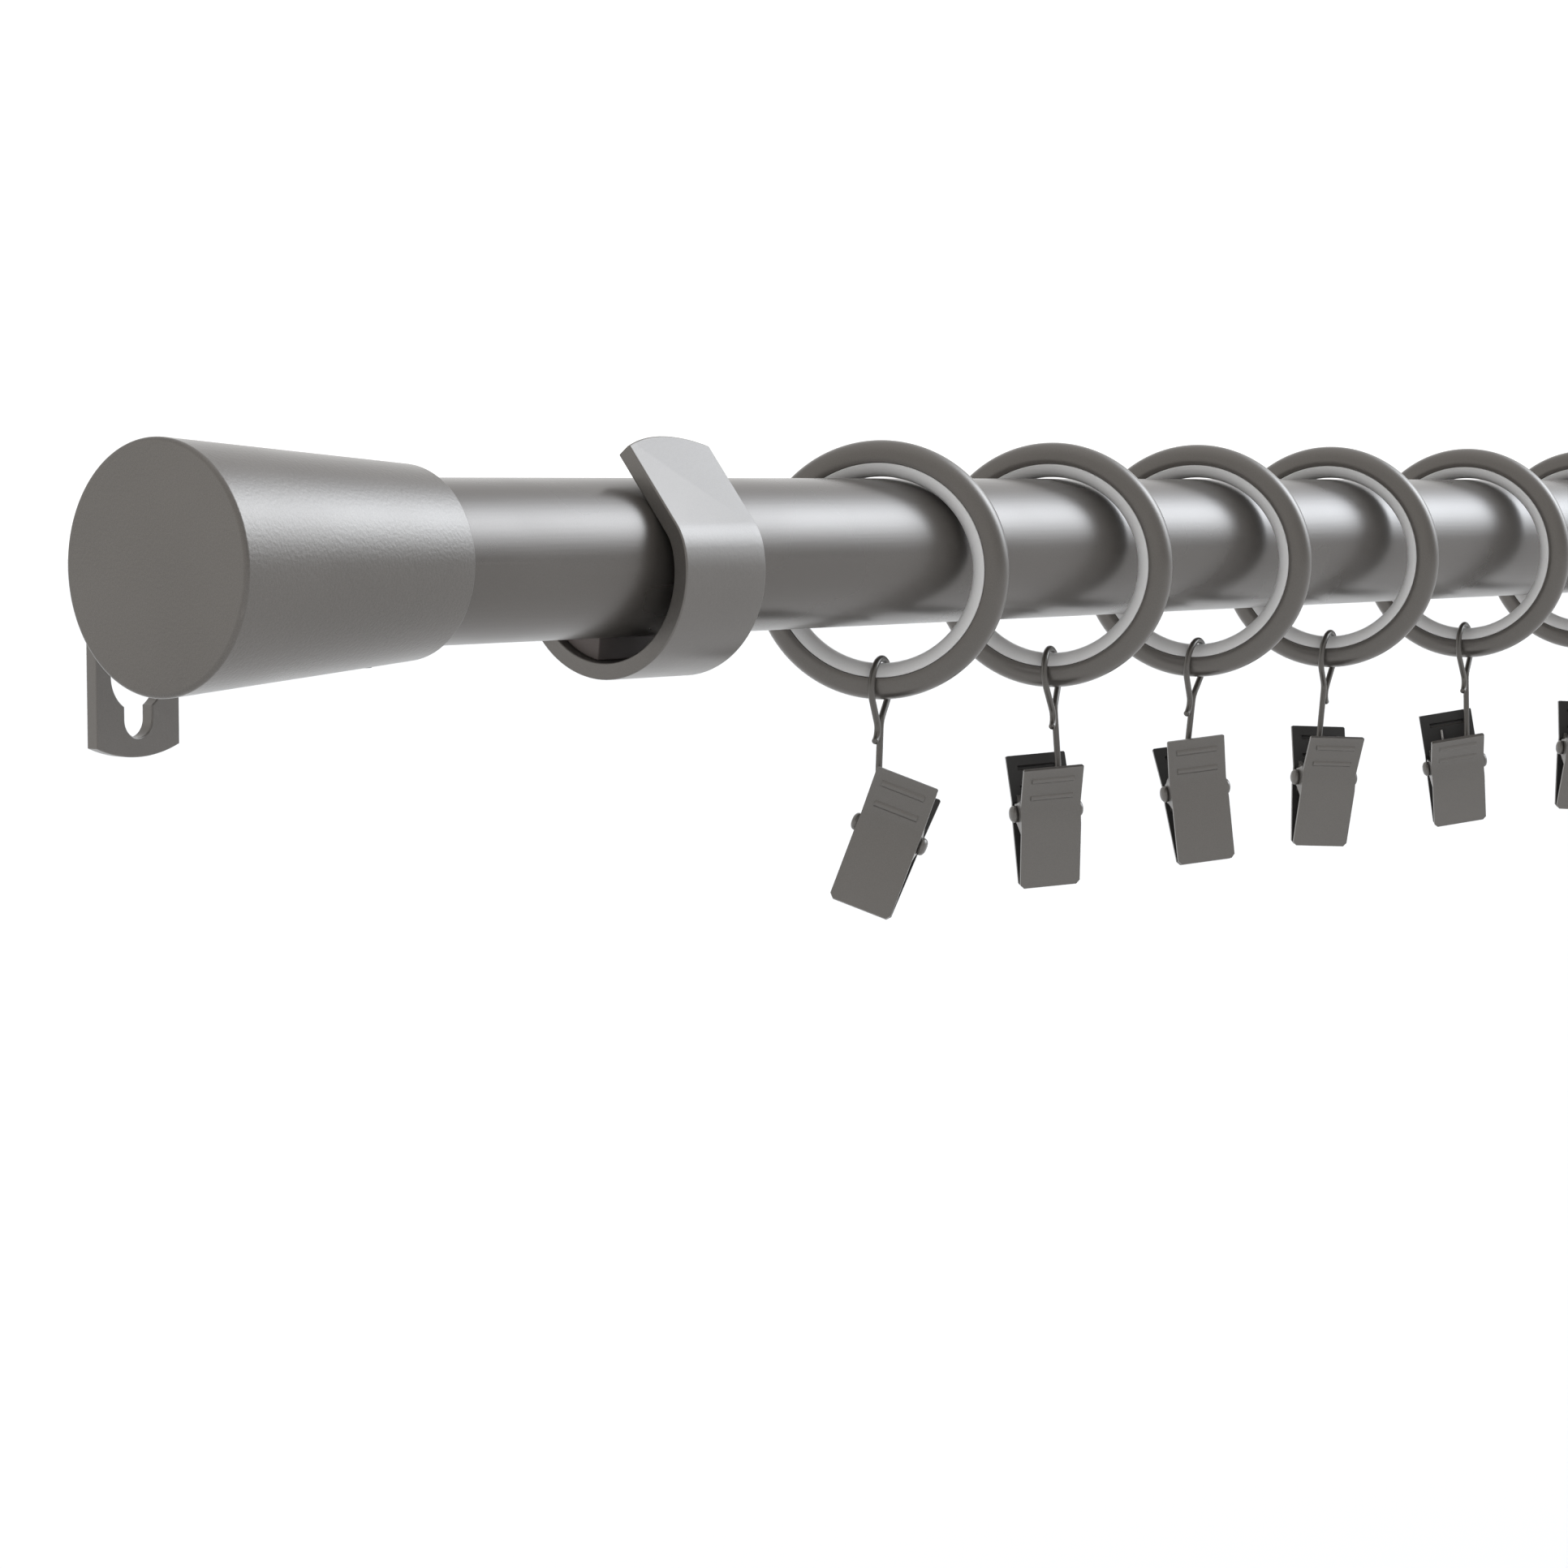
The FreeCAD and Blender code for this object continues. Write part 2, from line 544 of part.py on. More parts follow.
def hook(i, yaw_b):
    label = "hook_%d" % i
    body = new_body(label)
    rho, xs = S["hook_loop_radius"], S["hook_shank_x"]
    L = (0.0, -S["hook_loop_drop"])
    rf, rs = 2.5, 3.5
    K = (-xs - rf, -9.3)
    B = (xs + rs, -9.0)
    split = -17.0
    # upper loop, open beside the shank, free end curled outward
    pl, pk = inner_tangent(L, rho, K, rf, 1)
    pr, pb = inner_tangent(L, rho, B, rs, -1)
    tip_a = -65.0
    tip = (K[0] + rf * u(tip_a)[0], K[1] + rf * u(tip_a)[1])
    al = ang(L, pl)
    al = al + 360 if al < 0 else al
    ar = ang(L, pr)
    ab = ang(B, pb)
    ab = ab + 360 if ab < 0 else ab
    sk = sketch(body, "XZ_Plane", label + "_loop_path")
    chain(sk, [
        ("A", K[0], K[1], rf, tip_a, ang(K, pk)),
        ("L", pk, pl),
        ("A", L[0], L[1], rho, al, ar),
        ("L", pr, pb),
        ("A", B[0], B[1], rs, ab, 180.0),
        ("L", (xs, B[1]), (xs, split)),
    ], False)
    start_dir = (-u(tip_a)[1], u(tip_a)[0])
    pipe(body, sk, label + "_loop", tip, start_dir, "hook_wire_radius")
    doc.recompute()
    # lower eye, turned about the shank so that it sits square on the pin
    re = S["hook_eye_radius"]
    rb = 2.0
    ze = -S["hook_length"]
    zs = ze + math.sqrt((re + rb) ** 2 - rb ** 2)
    S2 = (rb, zs)
    P = (0.0, ze)
    tp = (S2[0] + rb * (P[0] - S2[0]) / (re + rb), S2[1] + rb * (P[1] - S2[1]) / (re + rb))
    a_tp = ang(P, tp)
    off = PL(V(xs, 0, 0), R(V(0, 1, 0), yaw_b))
    # the XZ plane's own frame: its normal is -Y, its local y is the body's Z
    sk = sketch(body, "XZ_Plane", label + "_eye_path", off)
    chain(sk, [
        ("L", (0, split), (0, zs)),
        ("A", S2[0], S2[1], rb, 180.0, 180.0 + math.degrees(math.acos(rb / (rb + re)))),
        ("A", P[0], P[1], re, a_tp, -235.0),
    ], False)
    sec = sketch(body, "XY_Plane", label + "_eye_wire", PL(V(xs, 0, split), R()))
    circle(sec, 0, 0, "hook_wire_radius", "wire")
    f = body.newObject("PartDesign::AdditivePipe", label + "_eye")
    f.Profile = sec
    f.Spine = sk
    f.Mode = "Frenet"
    doc.recompute()
    return body


def jaw_points():
    return [(-S["clip_flare"], S["clip_top"]), (-S["clip_waist"], 1.8), (-S["clip_waist"], -2.4),
            (-S["clip_nip"], S["clip_low"])]


def jaw(label, ear_outer):
    # one folded sheet: handle above the pin, jaw below it, two ears on the pin
    body = new_body(label)
    t, w = S["clip_sheet"], S["clip_width"]
    pts = jaw_points()
    sk = sketch(body, "XZ_Plane", label + "_section")
    polygon(sk, strip_outline(pts, t))
    pad(body, sk, label + "_sheet", w, "clip_width")
    doc.recompute()
    # two pressed ribs across the handle, proud outside and hollow inside
    dx, dz = pts[1][0] - pts[0][0], pts[1][1] - pts[0][1]
    ln = math.hypot(dx, dz)
    dx, dz = dx / ln, dz / ln
    nx, nz = dz, -dx                      # outward from the pin
    sk = sketch(body, "XZ_Plane", label + "_rib_section")
    an = math.degrees(math.atan2(nz, nx))
    for s in (2.7, 6.9):
        cx, cz = pts[0][0] + dx * s - nx * 0.05, pts[0][1] + dz * s - nz * 0.05
        e0 = (cx + 0.8 * u(an - 90)[0], cz + 0.8 * u(an - 90)[1])
        e1 = (cx + 0.8 * u(an + 90)[0], cz + 0.8 * u(an + 90)[1])
        chain(sk, [("A", cx, cz, 0.8, an - 90, an + 90), ("L", e1, e0)], True)
    pad(body, sk, label + "_ribs", 8.8)
    doc.recompute()
    sk = sketch(body, "XZ_Plane", label + "_rib_hollow")
    for s in (2.7, 6.9):
        plain_circle(sk, pts[0][0] + dx * s - nx * 0.35, pts[0][1] + dz * s - nz * 0.35, 0.5)
    pocket(body, sk, label + "_rib_hollows", 8.2)
    # ears
    er = S["clip_ear_radius"]
    xw = -S["clip_waist"] + t / 2 - 0.1
    for s in (1, -1):
        y = s * (ear_outer - t / 2)
        off = PL(V(0, 0, -y), R())
        sk = sketch(body, "XZ_Plane", label + "_ear_section", off)
        top, low = 3.2, -3.9
        chain(sk, [
            ("L", (xw, low), (0.0, -er)),
            ("A", 0, 0, er, -90, 90),
            ("L", (0.0, er), (xw, top)),
            ("L", (xw, top), (xw, low)),
        ], True)
        pad(body, sk, label + ("_ear_a" if s > 0 else "_ear_b"), t)
        doc.recompute()
    sk = sketch(body, "XZ_Plane", label + "_pin_hole")
    circle(sk, 0, 0, "pin_hole_radius", "pin_hole")
    pocket(body, sk, label + "_pin_cut", w + 2)
    # corners of the jaw and of the handle cut off
    sk = sketch(body, "YZ_Plane", label + "_corners")
    h, lo, up = w / 2, S["clip_low"], S["clip_top"]
    for s in (1, -1):
        polygon(sk, [(s * (h - 1.1), lo - 0.5), (s * (h + 0.5), lo - 0.5), (s * (h + 0.5), lo + 1.3)])
        polygon(sk, [(s * (h - 0.6), up + 0.5), (s * (h + 0.5), up + 0.5), (s * (h + 0.5), up - 0.6)])
    pocket(body, sk, label + "_corner_cut", 20.0)
    return body


def clip_pin(label):
    body = new_body(label)
    r, h, ln = S["pin_radius"], S["pin_head_radius"], S["pin_length"] / 2
    sk = sketch(body, "XY_Plane", label + "_profile")
    inner = S["clip_width"] / 2 + 0.05
    chain(sk, [
        ("L", (0, -ln), (0.95, -ln)),
        ("L", (0.95, -ln), (h, -ln + 0.7)),
        ("L", (h, -ln + 0.7), (h, -inner)),
        ("L", (h, -inner), (r, -inner)),
        ("L", (r, -inner), (r, inner)),
        ("L", (r, inner), (h, inner)),
        ("L", (h, inner), (h, ln - 0.7)),
        ("L", (h, ln - 0.7), (0.95, ln)),
        ("L", (0.95, ln), (0, ln)),
        ("L", (0, ln), (0, -ln)),
    ], True)
    rev = body.newObject("PartDesign::Revolution", label + "_turned")
    rev.Profile = sk
    rev.ReferenceAxis = ([x for x in body.Origin.OriginFeatures if x.Role == "Y_Axis"][0], [""])
    rev.Angle = 360
    doc.recompute()
    return body


def clip_spring(label):
    # torsion spring wound on the pin, one leg up each handle: one round wire
    # swept along a curve through the legs and the turns
    rc, pt = S["spring_radius"], S["spring_pitch"]
    pts = jaw_points()
    lean = math.atan2(S["clip_flare"] - S["clip_waist"], pts[0][1] - pts[1][1])
    y0, leg = -3.75, 8.6
    sweep_angle = 6 * math.pi + math.pi - 2 * lean
    per = pt / (2 * math.pi)
    cl, sl = math.cos(lean), math.sin(lean)
    way = []
    for s in (leg, leg * 0.75, leg * 0.5, leg * 0.25):
        way.append(V(rc * cl + s * sl, y0 - s * 0.012, -rc * sl + s * cl))
    n = 54
    for k in range(n + 1):
        a = lean + sweep_angle * k / n
        way.append(V(rc * math.cos(a), y0 + per * sweep_angle * k / n, -rc * math.sin(a)))
    y1 = y0 + per * sweep_angle
    for s in (leg * 0.25, leg * 0.5, leg * 0.75, leg):
        way.append(V(-rc * cl - s * sl, y1 + s * 0.012, -rc * sl + s * cl))
    curve = Part.BSplineCurve()
    curve.interpolate(way)
    path = doc.addObject("Part::Feature", label + "_path")
    path.Shape = curve.toShape()
    sec = doc.addObject("Part::Circle", label + "_wire")
    sec.Radius = S["spring_wire_radius"]
    sec.setExpression("Radius", "Sizes.spring_wire_radius")
    tangent = curve.tangent(curve.FirstParameter)[0]
    sec.Placement = PL(way[0], R(V(0, 0, 1), tangent))
    sw = doc.addObject("Part::Sweep", label)
    sw.Label = label
    sw.Sections = [sec]
    sw.Spine = (path, ["Edge1"])
    sw.Solid = True
    sw.Frenet = False
    doc.recompute()
    EXTRA.append(sw)
    return sw


def ring_part(label, liner):
    # the ring's round section is split by a cylinder: metal outside, a moulded
    # liner that slides on the pole inside
    body = new_body(label)
    sk = sketch(body, "XY_Plane", label + "_section")
    r = S["ring_wire_radius"]
    depth = S["liner_seam"] + (S["liner_gap"] if liner else 0.0)
    a = math.degrees(math.asin(depth / r))
    w = r * math.cos(math.radians(a))
    left, right = (-w, RR - depth), (w, RR - depth)
    if liner:
        chain(sk, [("A", 0, RR, r, 180 + a, 360 - a), ("L", right, left)], True)
    else:
        chain(sk, [("A", 0, RR, r, -a, 180 + a), ("L", left, right)], True)
    rev = body.newObject("PartDesign::Revolution", label + "_round")
    rev.Profile = sk
    rev.ReferenceAxis = ([q for q in body.Origin.OriginFeatures if q.Role == "X_Axis"][0], [""])
    rev.Angle = 360
    return body


def place_ring(i, data):
    x, psi, eta, kap, head, tau, lean, eye, flip = data
    RZ_ = R(V(0, 0, 1), psi)
    ring = ring_part("ring_%d" % i, False)
    ring.Placement = PL(V(x, YR, RZ), RZ_)
    liner = ring_part("ring_liner_%d" % i, True)
    liner.Placement = PL(V(x, YR, RZ), RZ_)
    base = V(x, YR, RZ - RR)
    # hook: turned, then tilted about the line of sight through its plane
    h_rot = R(V(0, 0, 1), eta).multiply(R(V(1, 0, 0), kap))
    if flip:
        h_rot = h_rot.multiply(R(V(0, 0, 1), 180))
    hk = hook(i, head - eta)
    hk.Placement = PL(base, h_rot)
    eye_at = hk.Placement.multVec(V(S["hook_shank_x"], 0, -S["hook_length"]))
    c_rot = R(V(0, 0, 1), head).multiply(R(V(1, 0, 0), tau)).multiply(R(V(0, 1, 0), lean))
    axis = c_rot.multVec(V(0, 1, 0))
    centre = eye_at - axis * eye
    cp = PL(centre, c_rot)
    front = jaw("clip_front_%d" % i, S["clip_width"] / 2)
    front.Placement = cp
    back = jaw("clip_back_%d" % i, S["clip_width"] / 2 - S["clip_sheet"] - 0.2)
    back.Placement = cp.multiply(PL(V(0, 0, 0), R(V(0, 0, 1), 180)))
    pin = clip_pin("clip_pin_%d" % i)
    pin.Placement = cp
    spring = clip_spring("clip_spring_%d" % i)
    spring.Placement = cp if eye >= 0 else cp.multiply(PL(V(0, 0, 0), R(V(0, 0, 1), 180)))
    print("ring", i, "tube bottom", tuple(round(q, 4) for q in base), "pin", tuple(round(q, 4) for q in centre),
          "axis", tuple(round(q, 6) for q in axis))


for i, data in enumerate(RINGS, 1):
    place_ring(i, data)

# ---------------------------------------------------------------- check and write
doc.recompute()
bad = []
for o in doc.Objects:
    st = list(getattr(o, "State", []))
    if "Invalid" in st or "Error" in st:
        bad.append((o.Name, st))
if bad:
    raise RuntimeError("objects in error: %r" % bad[:10])

os.makedirs("parts", exist_ok=True)
count = 0
for o in doc.Objects:
    if o.TypeId != "PartDesign::Body" and o not in EXTRA:
        continue
    sh = o.Shape
    if sh.isNull() or not sh.isValid() or len(sh.Solids) != 1:
        raise RuntimeError("bad shape %s: %d solids" % (o.Label, len(sh.Solids)))
    sh.exportStep("parts/%s.step" % o.Label)
    count += 1
    bb = sh.BoundBox
    print("%-22s vol %10.2f  x %8.2f..%8.2f  y %8.2f..%8.2f  z %8.2f..%8.2f" % (
        o.Label, sh.Volume, bb.XMin, bb.XMax, bb.YMin, bb.YMax, bb.ZMin, bb.ZMax))
print("parts written:", count)
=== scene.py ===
import json
import math
import re

import bpy
import bmesh
from mathutils import Matrix, Vector


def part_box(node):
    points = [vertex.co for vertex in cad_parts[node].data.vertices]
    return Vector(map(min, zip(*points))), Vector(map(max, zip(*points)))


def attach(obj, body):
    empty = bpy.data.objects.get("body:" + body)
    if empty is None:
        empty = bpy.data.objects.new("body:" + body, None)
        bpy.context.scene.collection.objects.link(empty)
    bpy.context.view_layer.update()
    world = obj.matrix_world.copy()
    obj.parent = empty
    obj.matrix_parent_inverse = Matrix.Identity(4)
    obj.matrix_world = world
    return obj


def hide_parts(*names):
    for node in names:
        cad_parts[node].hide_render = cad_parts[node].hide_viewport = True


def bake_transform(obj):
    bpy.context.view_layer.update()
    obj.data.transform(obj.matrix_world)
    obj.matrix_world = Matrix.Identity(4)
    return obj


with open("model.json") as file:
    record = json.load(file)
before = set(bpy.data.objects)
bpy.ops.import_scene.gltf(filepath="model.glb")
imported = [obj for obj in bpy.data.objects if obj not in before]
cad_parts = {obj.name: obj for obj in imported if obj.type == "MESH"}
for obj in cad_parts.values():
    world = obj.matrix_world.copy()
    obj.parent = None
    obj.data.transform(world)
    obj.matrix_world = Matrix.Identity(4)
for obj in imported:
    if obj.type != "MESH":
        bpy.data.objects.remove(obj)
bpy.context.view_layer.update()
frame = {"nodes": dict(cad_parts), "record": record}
MM = 0.001


# ------------------------------------------------------------------ materials

def node(nt, kind, x, y, **props):
    n = nt.nodes.new(kind)
    n.location = (x, y)
    for k, v in props.items():
        setattr(n, k, v)
    return n


def coating(name, colour, rough, metallic=0.62, peel=0.35, peel_size=0.9, speck=0.03, edge=0.22, coat=0.25,
            draw=1.0, depth=0.03):
    """Satin coating on metal: fine orange peel, faint mottling of colour and gloss,
    slightly polished edges."""
    m = bpy.data.materials.new(name)
    m.use_nodes = True
    nt = m.node_tree
    nt.nodes.clear()
    out = node(nt, "ShaderNodeOutputMaterial", 900, 0)
    p = node(nt, "ShaderNodeBsdfPrincipled", 600, 0)
    nt.links.new(p.outputs["BSDF"], out.inputs["Surface"])
    tc = node(nt, "ShaderNodeTexCoord", -1100, 0)
    # colour: broad mottling plus fine flake
    broad = node(nt, "ShaderNodeTexNoise", -800, 300)
    broad.inputs["Scale"].default_value = 38.0
    broad.inputs["Detail"].default_value = 3.0
    fine = node(nt, "ShaderNodeTexNoise", -800, 60)
    fine.inputs["Scale"].default_value = 5200.0
    fine.inputs["Detail"].default_value = 2.0
    peel_n = node(nt, "ShaderNodeTexNoise", -800, -200)
    peel_n.inputs["Scale"].default_value = 1000.0 / peel_size
    peel_n.inputs["Detail"].default_value = 2.5
    peel_n.inputs["Roughness"].default_value = 0.45
    for n in (broad, fine):
        nt.links.new(tc.outputs["Object"], n.inputs["Vector"])
    # draw below 1 stretches the grain along the length of the object
    grain = node(nt, "ShaderNodeMapping", -960, -200)
    grain.inputs["Scale"].default_value = (draw, 1.0, 1.0)
    nt.links.new(tc.outputs["Object"], grain.inputs["Vector"])
    nt.links.new(grain.outputs["Vector"], peel_n.inputs["Vector"])
    r1 = node(nt, "ShaderNodeValToRGB", -560, 300)
    r1.color_ramp.elements[0].position = 0.3
    r1.color_ramp.elements[1].position = 0.7
    d = 1.0 - speck
    u = 1.0 + speck
    r1.color_ramp.elements[0].color = (colour[0] * d, colour[1] * d, colour[2] * d, 1)
    r1.color_ramp.elements[1].color = (min(1, colour[0] * u), min(1, colour[1] * u), min(1, colour[2] * u), 1)
    nt.links.new(broad.outputs["Fac"], r1.inputs["Fac"])
    flake = node(nt, "ShaderNodeMapRange", -560, 60)
    flake.inputs["From Min"].default_value = 0.35
    flake.inputs["From Max"].default_value = 0.65
    flake.inputs["To Min"].default_value = 1.0 - speck * 1.6
    flake.inputs["To Max"].default_value = 1.0 + speck * 1.6
    nt.links.new(fine.outputs["Fac"], flake.inputs["Value"])
    mul = node(nt, "ShaderNodeVectorMath", -330, 220, operation="SCALE")
    nt.links.new(r1.outputs["Color"], mul.inputs[0])
    nt.links.new(flake.outputs["Result"], mul.inputs["Scale"])
    # edges rubbed a little brighter
    geo = node(nt, "ShaderNodeNewGeometry", -800, 560)
    er = node(nt, "ShaderNodeMapRange", -560, 560)
    er.inputs["From Min"].default_value = 0.52
    er.inputs["From Max"].default_value = 0.62
    er.inputs["To Min"].default_value = 0.0
    er.inputs["To Max"].default_value = edge
    nt.links.new(geo.outputs["Pointiness"], er.inputs["Value"])
    mix = node(nt, "ShaderNodeMix", -80, 260, data_type="RGBA")
    nt.links.new(er.outputs["Result"], mix.inputs["Factor"])
    nt.links.new(mul.outputs["Vector"], mix.inputs["A"])
    mix.inputs["B"].default_value = (min(1, colour[0] * 1.6), min(1, colour[1] * 1.6), min(1, colour[2] * 1.6), 1)
    nt.links.new(mix.outputs["Result"], p.inputs["Base Color"])
    # gloss varies with the mottling
    rr = node(nt, "ShaderNodeMapRange", -330, -20)
    rr.inputs["From Min"].default_value = 0.3
    rr.inputs["From Max"].default_value = 0.7
    rr.inputs["To Min"].default_value = rough - 0.035
    rr.inputs["To Max"].default_value = rough + 0.035
    nt.links.new(broad.outputs["Fac"], rr.inputs["Value"])
    nt.links.new(rr.outputs["Result"], p.inputs["Roughness"])
    p.inputs["Metallic"].default_value = metallic
    p.inputs["Coat Weight"].default_value = coat
    p.inputs["Coat Roughness"].default_value = 0.25
    # orange peel and grain
    b1 = node(nt, "ShaderNodeBump", 120, -220)
    b1.inputs["Strength"].default_value = peel
    b1.inputs["Distance"].default_value = depth * MM
    nt.links.new(peel_n.outputs["Fac"], b1.inputs["Height"])
    b2 = node(nt, "ShaderNodeBump", 340, -220)
    b2.inputs["Strength"].default_value = 0.25
    b2.inputs["Distance"].default_value = 0.000006
    nt.links.new(fine.outputs["Fac"], b2.inputs["Height"])
    nt.links.new(b1.outputs["Normal"], b2.inputs["Normal"])
    nt.links.new(b2.outputs["Normal"], p.inputs["Normal"])
    return m


PEWTER = (0.095, 0.086, 0.078)
MATS = {
    "finial": coating("finial_coating", (0.112, 0.103, 0.094), 0.30, peel=0.9, peel_size=0.6, speck=0.05, depth=0.05),
    "rod_tube": coating("pole_coating", PEWTER, 0.29, peel=0.35, peel_size=0.7, draw=0.04),
    "bracket": coating("bracket_coating", (0.126, 0.117, 0.108), 0.32, peel=0.6, peel_size=0.8, depth=0.03),
    "ring": coating("ring_coating", (0.108, 0.099, 0.090), 0.30, peel=0.25, peel_size=0.8),
    "liner": coating("ring_liner_plastic", (0.66, 0.655, 0.65), 0.34, metallic=0.0, peel=0.08, peel_size=1.6,
                     speck=0.012, edge=0.0, coat=0.0),
    "hook": coating("hook_plating", (0.095, 0.088, 0.080), 0.32, peel=0.2, peel_size=0.5),
    "clip": coating("clip_plating", (0.126, 0.118, 0.109), 0.38, peel=0.3, peel_size=0.6),
    # painted shade: a near-black coat for the clip's inner faces, standing in for the shadow between the jaws
    "clip_painted_shade": coating("clip_jaw_painted_shade", (0.026, 0.025, 0.024), 0.55, metallic=0.3, peel=0.3, peel_size=0.6,
                           edge=0.1, coat=0.0),
    "spring": coating("spring_wire", (0.26, 0.25, 0.24), 0.28, metallic=1.0, peel=0.1, peel_size=0.4),
    "clamp": coating("zinc_plating", (0.36, 0.35, 0.335), 0.30, metallic=1.0, peel=0.15, peel_size=0.6),
    "grub": coating("black_oxide", (0.045, 0.045, 0.047), 0.4, metallic=0.9, peel=0.15, peel_size=0.5),
    "pad": coating("moulded_pad", (0.105, 0.086, 0.080), 0.6, metallic=0.0, peel=0.5, peel_size=0.7, edge=0.05,
                   coat=0.0),
}


def mat_of(n):
    if n.startswith("finial_screw"):
        return MATS["grub"]
    if n.startswith("finial"):
        return MATS["finial"]
    if n.startswith("rod"):
        return MATS["rod_tube"]
    if n.startswith("cradle_pad"):
        return MATS["pad"]
    if n.startswith(("wall_bracket", "cradle")):
        return MATS["bracket"]
    if n.startswith("clamp"):
        return MATS["clamp"]
    if n.startswith("ring_liner"):
        return MATS["liner"]
    if n.startswith("ring"):
        return MATS["ring"]
    if n.startswith("hook"):
        return MATS["hook"]
    if n.startswith("clip_spring"):
        return MATS["spring"]
    return MATS["clip"]



for name, obj in frame["nodes"].items():
    for sl in obj.material_slots:
        sl.material = mat_of(name)

# ------------------------------------------------------------------ mesh tools

def u2(deg):
    a = math.radians(deg)
    return math.cos(a), math.sin(a)


def arc(cx, cy, r, a0, a1, step=4.0):
    n = max(2, int(math.ceil(abs(a1 - a0) / step)))
    return [(cx + r * math.cos(math.radians(a0 + (a1 - a0) * k / n)),
             cy + r * math.sin(math.radians(a0 + (a1 - a0) * k / n))) for k in range(n + 1)]


def joined(*runs):
    out = []
    for run in runs:
        for p in run:
            if not out or (Vector(p) - Vector(out[-1])).length > 1e-5:
                out.append(p)
    return out


def finish_mesh(name, bm, mat, matrix, node_names, body, sharp=38.0, weighted=True):
    mesh = bpy.data.meshes.new(name)
    bmesh.ops.recalc_face_normals(bm, faces=bm.faces)
    bm.to_mesh(mesh)
    bm.free()
    mesh.transform(Matrix.Scale(MM, 4) @ matrix if matrix is not None else Matrix.Scale(MM, 4))
    mesh.shade_smooth()
    mesh.set_sharp_from_angle(angle=math.radians(sharp))
    mesh.materials.append(mat)
    ob = bpy.data.objects.new(name, mesh)
    bpy.context.scene.collection.objects.link(ob)
    if weighted:
        md = ob.modifiers.new("normals", "WEIGHTED_NORMAL")
        md.keep_sharp = True
        md.weight = 80
    if isinstance(body, tuple):
        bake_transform(ob)
    else:
        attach(ob, body)
    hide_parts(*node_names)
    return ob


def lathe(profile, segs, closed=True):
    """profile of (along x, radius) turned about X"""
    bm = bmesh.new()
    rings = []
    for x, r in profile:
        if r < 1e-6:
            rings.append([bm.verts.new((x, 0, 0))])
        else:
            rings.append([bm.verts.new((x, r * math.cos(2 * math.pi * k / segs), r * math.sin(2 * math.pi * k / segs)))
                          for k in range(segs)])
    n = len(rings)
    for i in range(n if closed else n - 1):
        a, b = rings[i], rings[(i + 1) % n]
        if len(a) == 1 and len(b) == 1:
            continue
        for k in range(segs):
            j = (k + 1) % segs
            if len(a) == 1:
                bm.faces.new((a[0], b[k], b[j]))
            elif len(b) == 1:
                bm.faces.new((a[k], b[0], a[j]))
            else:
                bm.faces.new((a[k], b[k], b[j], a[j]))
    return bm


def wire(path, radius, segs=18, round_end=True):
    """round wire along a list of 3-D points, with slightly rounded cut ends"""
    bm = bmesh.new()
    pts = [Vector(p) for p in path]
    n = len(pts)
    tans = []
    for i in range(n):
        a, b = pts[max(0, i - 1)], pts[min(n - 1, i + 1)]
        tans.append((b - a).normalized())
    ref = Vector((0, 1, 0)) if abs(tans[0].y) < 0.9 else Vector((1, 0, 0))
    side = (ref - tans[0] * ref.dot(tans[0])).normalized()
    frames = []
    for i in range(n):
        side = (side - tans[i] * side.dot(tans[i])).normalized()
        frames.append((side.copy(), tans[i].cross(side)))
    rows = []
    if round_end:
        c = radius * 0.25
        rows.append((pts[0], frames[0], radius - c))
        rows.append((pts[0] + tans[0] * c, frames[0], radius))
        for i in range(1, n - 1):
            rows.append((pts[i], frames[i], radius))
        rows.append((pts[-1] - tans[-1] * c, frames[-1], radius))
        rows.append((pts[-1], frames[-1], radius - c))
    else:
        rows = [(pts[i], frames[i], radius) for i in range(n)]
    loops = []
    for p, (s, t), r in rows:
        loops.append([bm.verts.new(p + s * r * math.cos(2 * math.pi * k / segs) + t * r * math.sin(2 * math.pi * k / segs))
                      for k in range(segs)])
    for i in range(len(loops) - 1):
        for k in range(segs):
            j = (k + 1) % segs
            bm.faces.new((loops[i][k], loops[i + 1][k], loops[i + 1][j], loops[i][j]))
    bm.faces.new(loops[0][::-1])
    bm.faces.new(loops[-1])
    return bm


